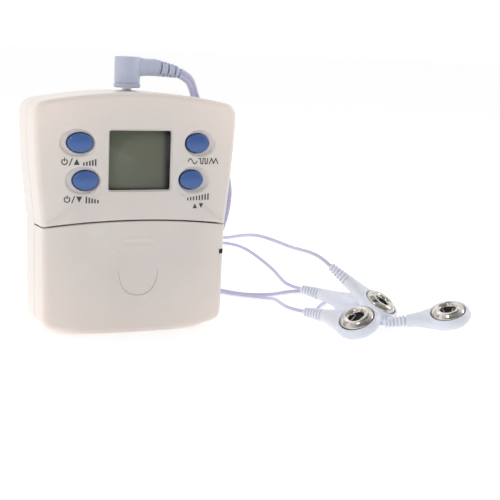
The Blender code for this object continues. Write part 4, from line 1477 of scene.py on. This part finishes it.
def symbol_shapes():
    """Generic marks under the keys: power and up, power and down, three waves, and a rising scale."""
    shapes = []

    def place(quads, x, z):
        for quad in quads:
            shapes.append([(x + p[0], z + p[1]) for p in quad])

    def bars(count, pitch, x, z, low, step):
        for i in range(count):
            place(stroke([(0.0, 0.0), (0.0, low + step * i)], BAR_WIDTH), x + pitch * i, z)

    for (_, key_x, key_z), shift, up in ((KEYS[0], -0.0002, 1.0), (KEYS[1], -0.0012, -1.0)):
        middle = key_x + shift
        row_z = key_z - 0.0063
        place(stroke(arc(0.00090, 125, 415), LINE_WIDTH), middle - 0.0050, row_z)
        place(stroke([(0.0, 0.0003), (0.0, 0.0012)], LINE_WIDTH), middle - 0.0050, row_z)
        place(stroke([(-0.0004, -0.0011), (0.0005, 0.0011)], LINE_WIDTH), middle - 0.0030, row_z)
        place(triangle(0.0010, up), middle - 0.0010, row_z)
        tallest = 0.0017
        shortest = 0.0006
        low = shortest if up > 0 else tallest
        bars(5, 0.00098, middle + 0.0014, row_z - 0.0010, low, up * (tallest - shortest) / 4)
    _, key_x, key_z = KEYS[2]
    for form, start_x in (("sine", -0.0059), ("square", -0.0018), ("triangle", 0.0023)):
        place(stroke(wave(form), LINE_WIDTH), key_x + 0.0023 + start_x, key_z - 0.0061)
    _, key_x, key_z = KEYS[3]
    middle = key_x + 0.0026
    bars(8, 0.00112, middle - 0.0039, key_z - 0.0068, 0.0004, 0.00020)
    place(triangle(0.00085, 1.0), middle - 0.0011, key_z - 0.0090)
    place(triangle(0.00085, -1.0), middle + 0.0013, key_z - 0.0090)
    return shapes


def symbols():
    """The printed marks, as thin raised ink that follows the face."""

    def build(bm):
        for shape in symbol_shapes():
            front = []
            back = []
            for x, z in shape:
                y = SIDE_FRONT_Y - face_bulge(x) + key_dish(x, z)
                front.append(bm.verts.new((x, y - 0.00004, z)))
                back.append(bm.verts.new((x, y + 0.00006, z)))
            bm.faces.new(front)
            bm.faces.new(back[::-1])
            for i in range(len(shape)):
                j = (i + 1) % len(shape)
                bm.faces.new((front[j], front[i], back[i], back[j]))

    made = add_mesh("printed_symbols", build, INK, 10, merge=False)
    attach(made, "root")


# ---------------------------------------------------------------- plug

def plug():
    """A moulded right-angled plug: barrel, arm, and a slotted strain relief that tapers to the cord."""
    top = PLUG_BOTTOM_Z + PLUG_HEIGHT
    low = PLUG_BOTTOM_Z
    upright = Matrix.Translation((0.0, JACK_Y, 0.0))
    barrel = turned(
        "plug_body_fine",
        [
            (0.0, top - 0.0003, 0.0),
            (PLUG_RADIUS - 0.0016, top - 0.0003, 0.0001),
            (PLUG_RADIUS - 0.0011, top, 0.0004),
            (PLUG_RADIUS, top, 0.0009),
            (PLUG_RADIUS, low + 0.0017, 0.0002),
            (PLUG_RADIUS - 0.00025, low + 0.0015, 0.0001),
            (PLUG_RADIUS + 0.0002, low + 0.0013, 0.0001),
            (PLUG_RADIUS + 0.0002, low + 0.0003, 0.0002),
            (PLUG_RADIUS - 0.0002, low, 0.0),
            (0.0, low, 0.0),
        ],
        LILAC,
        120,
        matrix=upright,
    )
    along_x = Matrix.Translation((0.0, JACK_Y, ARM_Z)) @ Matrix.Rotation(math.pi / 2, 4, "Y")
    arm = turned(
        "plug_arm",
        [
            (0.0, 0.0112, 0.0),
            (ARM_RADIUS - 0.0003, 0.0112, 0.0003),
            (ARM_RADIUS, 0.0100, 0.0004),
            (ARM_RADIUS + 0.00005, 0.0060, 0.0010),
            (ARM_RADIUS + 0.0004, 0.0042, 0.0010),
            (ARM_RADIUS + 0.0004, 0.0010, 0.0),
            (0.0, 0.0010, 0.0),
        ],
        LILAC,
        96,
        matrix=along_x,
    )
    combine(barrel, [arm], "UNION", 40)
    line = RELIEF_END - RELIEF_START
    length = line.length
    placed = Matrix.Translation(RELIEF_START) @ line.to_track_quat("X", "Z").to_matrix().to_4x4()
    sleeve = relief_sleeve(length)
    sleeve.data.transform(placed)
    for piece in (barrel, sleeve):
        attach(piece, "plug")
    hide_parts("plug_body")
    finish_nodes(["plug_pin"], STEEL)


def relief_sleeve(length):
    """The slotted sleeve along local X, with long slots on its sides and short ones above and below."""
    radii = (ARM_RADIUS - 0.0001, 0.00205)
    rows = []
    for step in range(25):
        share = step / 24
        x = 0.0009 + (length - 0.0009 + 0.0006) * share
        radius = radii[0] + (radii[1] - radii[0]) * share**1.1
        radius *= 1.0 - 0.25 * smoothstep(0.94, 1.0, share)
        rows.append([(x, b, a) for a, b, _ in circle(radius, 0.0, 72)])
    sleeve = add_form("plug_relief_sleeve", rows, LILAC)
    cuts = []
    slot = 0.00066
    pitch = 0.00275
    long_slots = 3
    for i in range(long_slots):
        x = 0.0016 + pitch * i
        radius = radii[0] + (radii[1] - radii[0]) * x / length
        for side in (-1.0, 1.0):
            place = (x, side * (0.0034 - 0.0001 * i), 0.0)
            cuts.append(box_form(f"long_slot_{i}_{int(side)}", (slot, 0.004, 1.62 * radius), place))
        if i == long_slots - 1:
            continue
        size = (slot * 0.85, 1.5 * radius, 0.003)
        for side in (-1.0, 1.0):
            place = (x + 0.00138, 0.0, side * (radius * 0.52 + 0.0015))
            cuts.append(box_form(f"short_slot_{i}_{int(side)}", size, place))
    return combine(sleeve, cuts, "DIFFERENCE", 30)


# ---------------------------------------------------------------- inner pieces


def inner_pieces():
    finish_nodes(["battery_tray"], TRAY)
    finish_nodes([f"battery_cell_{i}" for i in (1, 2, 3)] + ["storage_capacitor"], JACKET)
    finish_nodes([f"battery_contact_{i}" for i in (1, 2, 3)], STEEL)
    finish_nodes([f"battery_spring_{i}" for i in (1, 2, 3)], STEEL)
    finish_nodes(["circuit_board"], BOARD)
    finish_nodes(["keypad_mat_left", "keypad_mat_right"], SILICONE)
    finish_nodes(["controller_chip", "jack_socket"], BLACK)
    finish_nodes(["output_transformer"], COPPER)


add_camera()
add_studio()
lead_set()
front_cover()
battery_cover()
rear_cover()
case_screws()
keys()
display()
symbols()
plug()
inner_pieces()
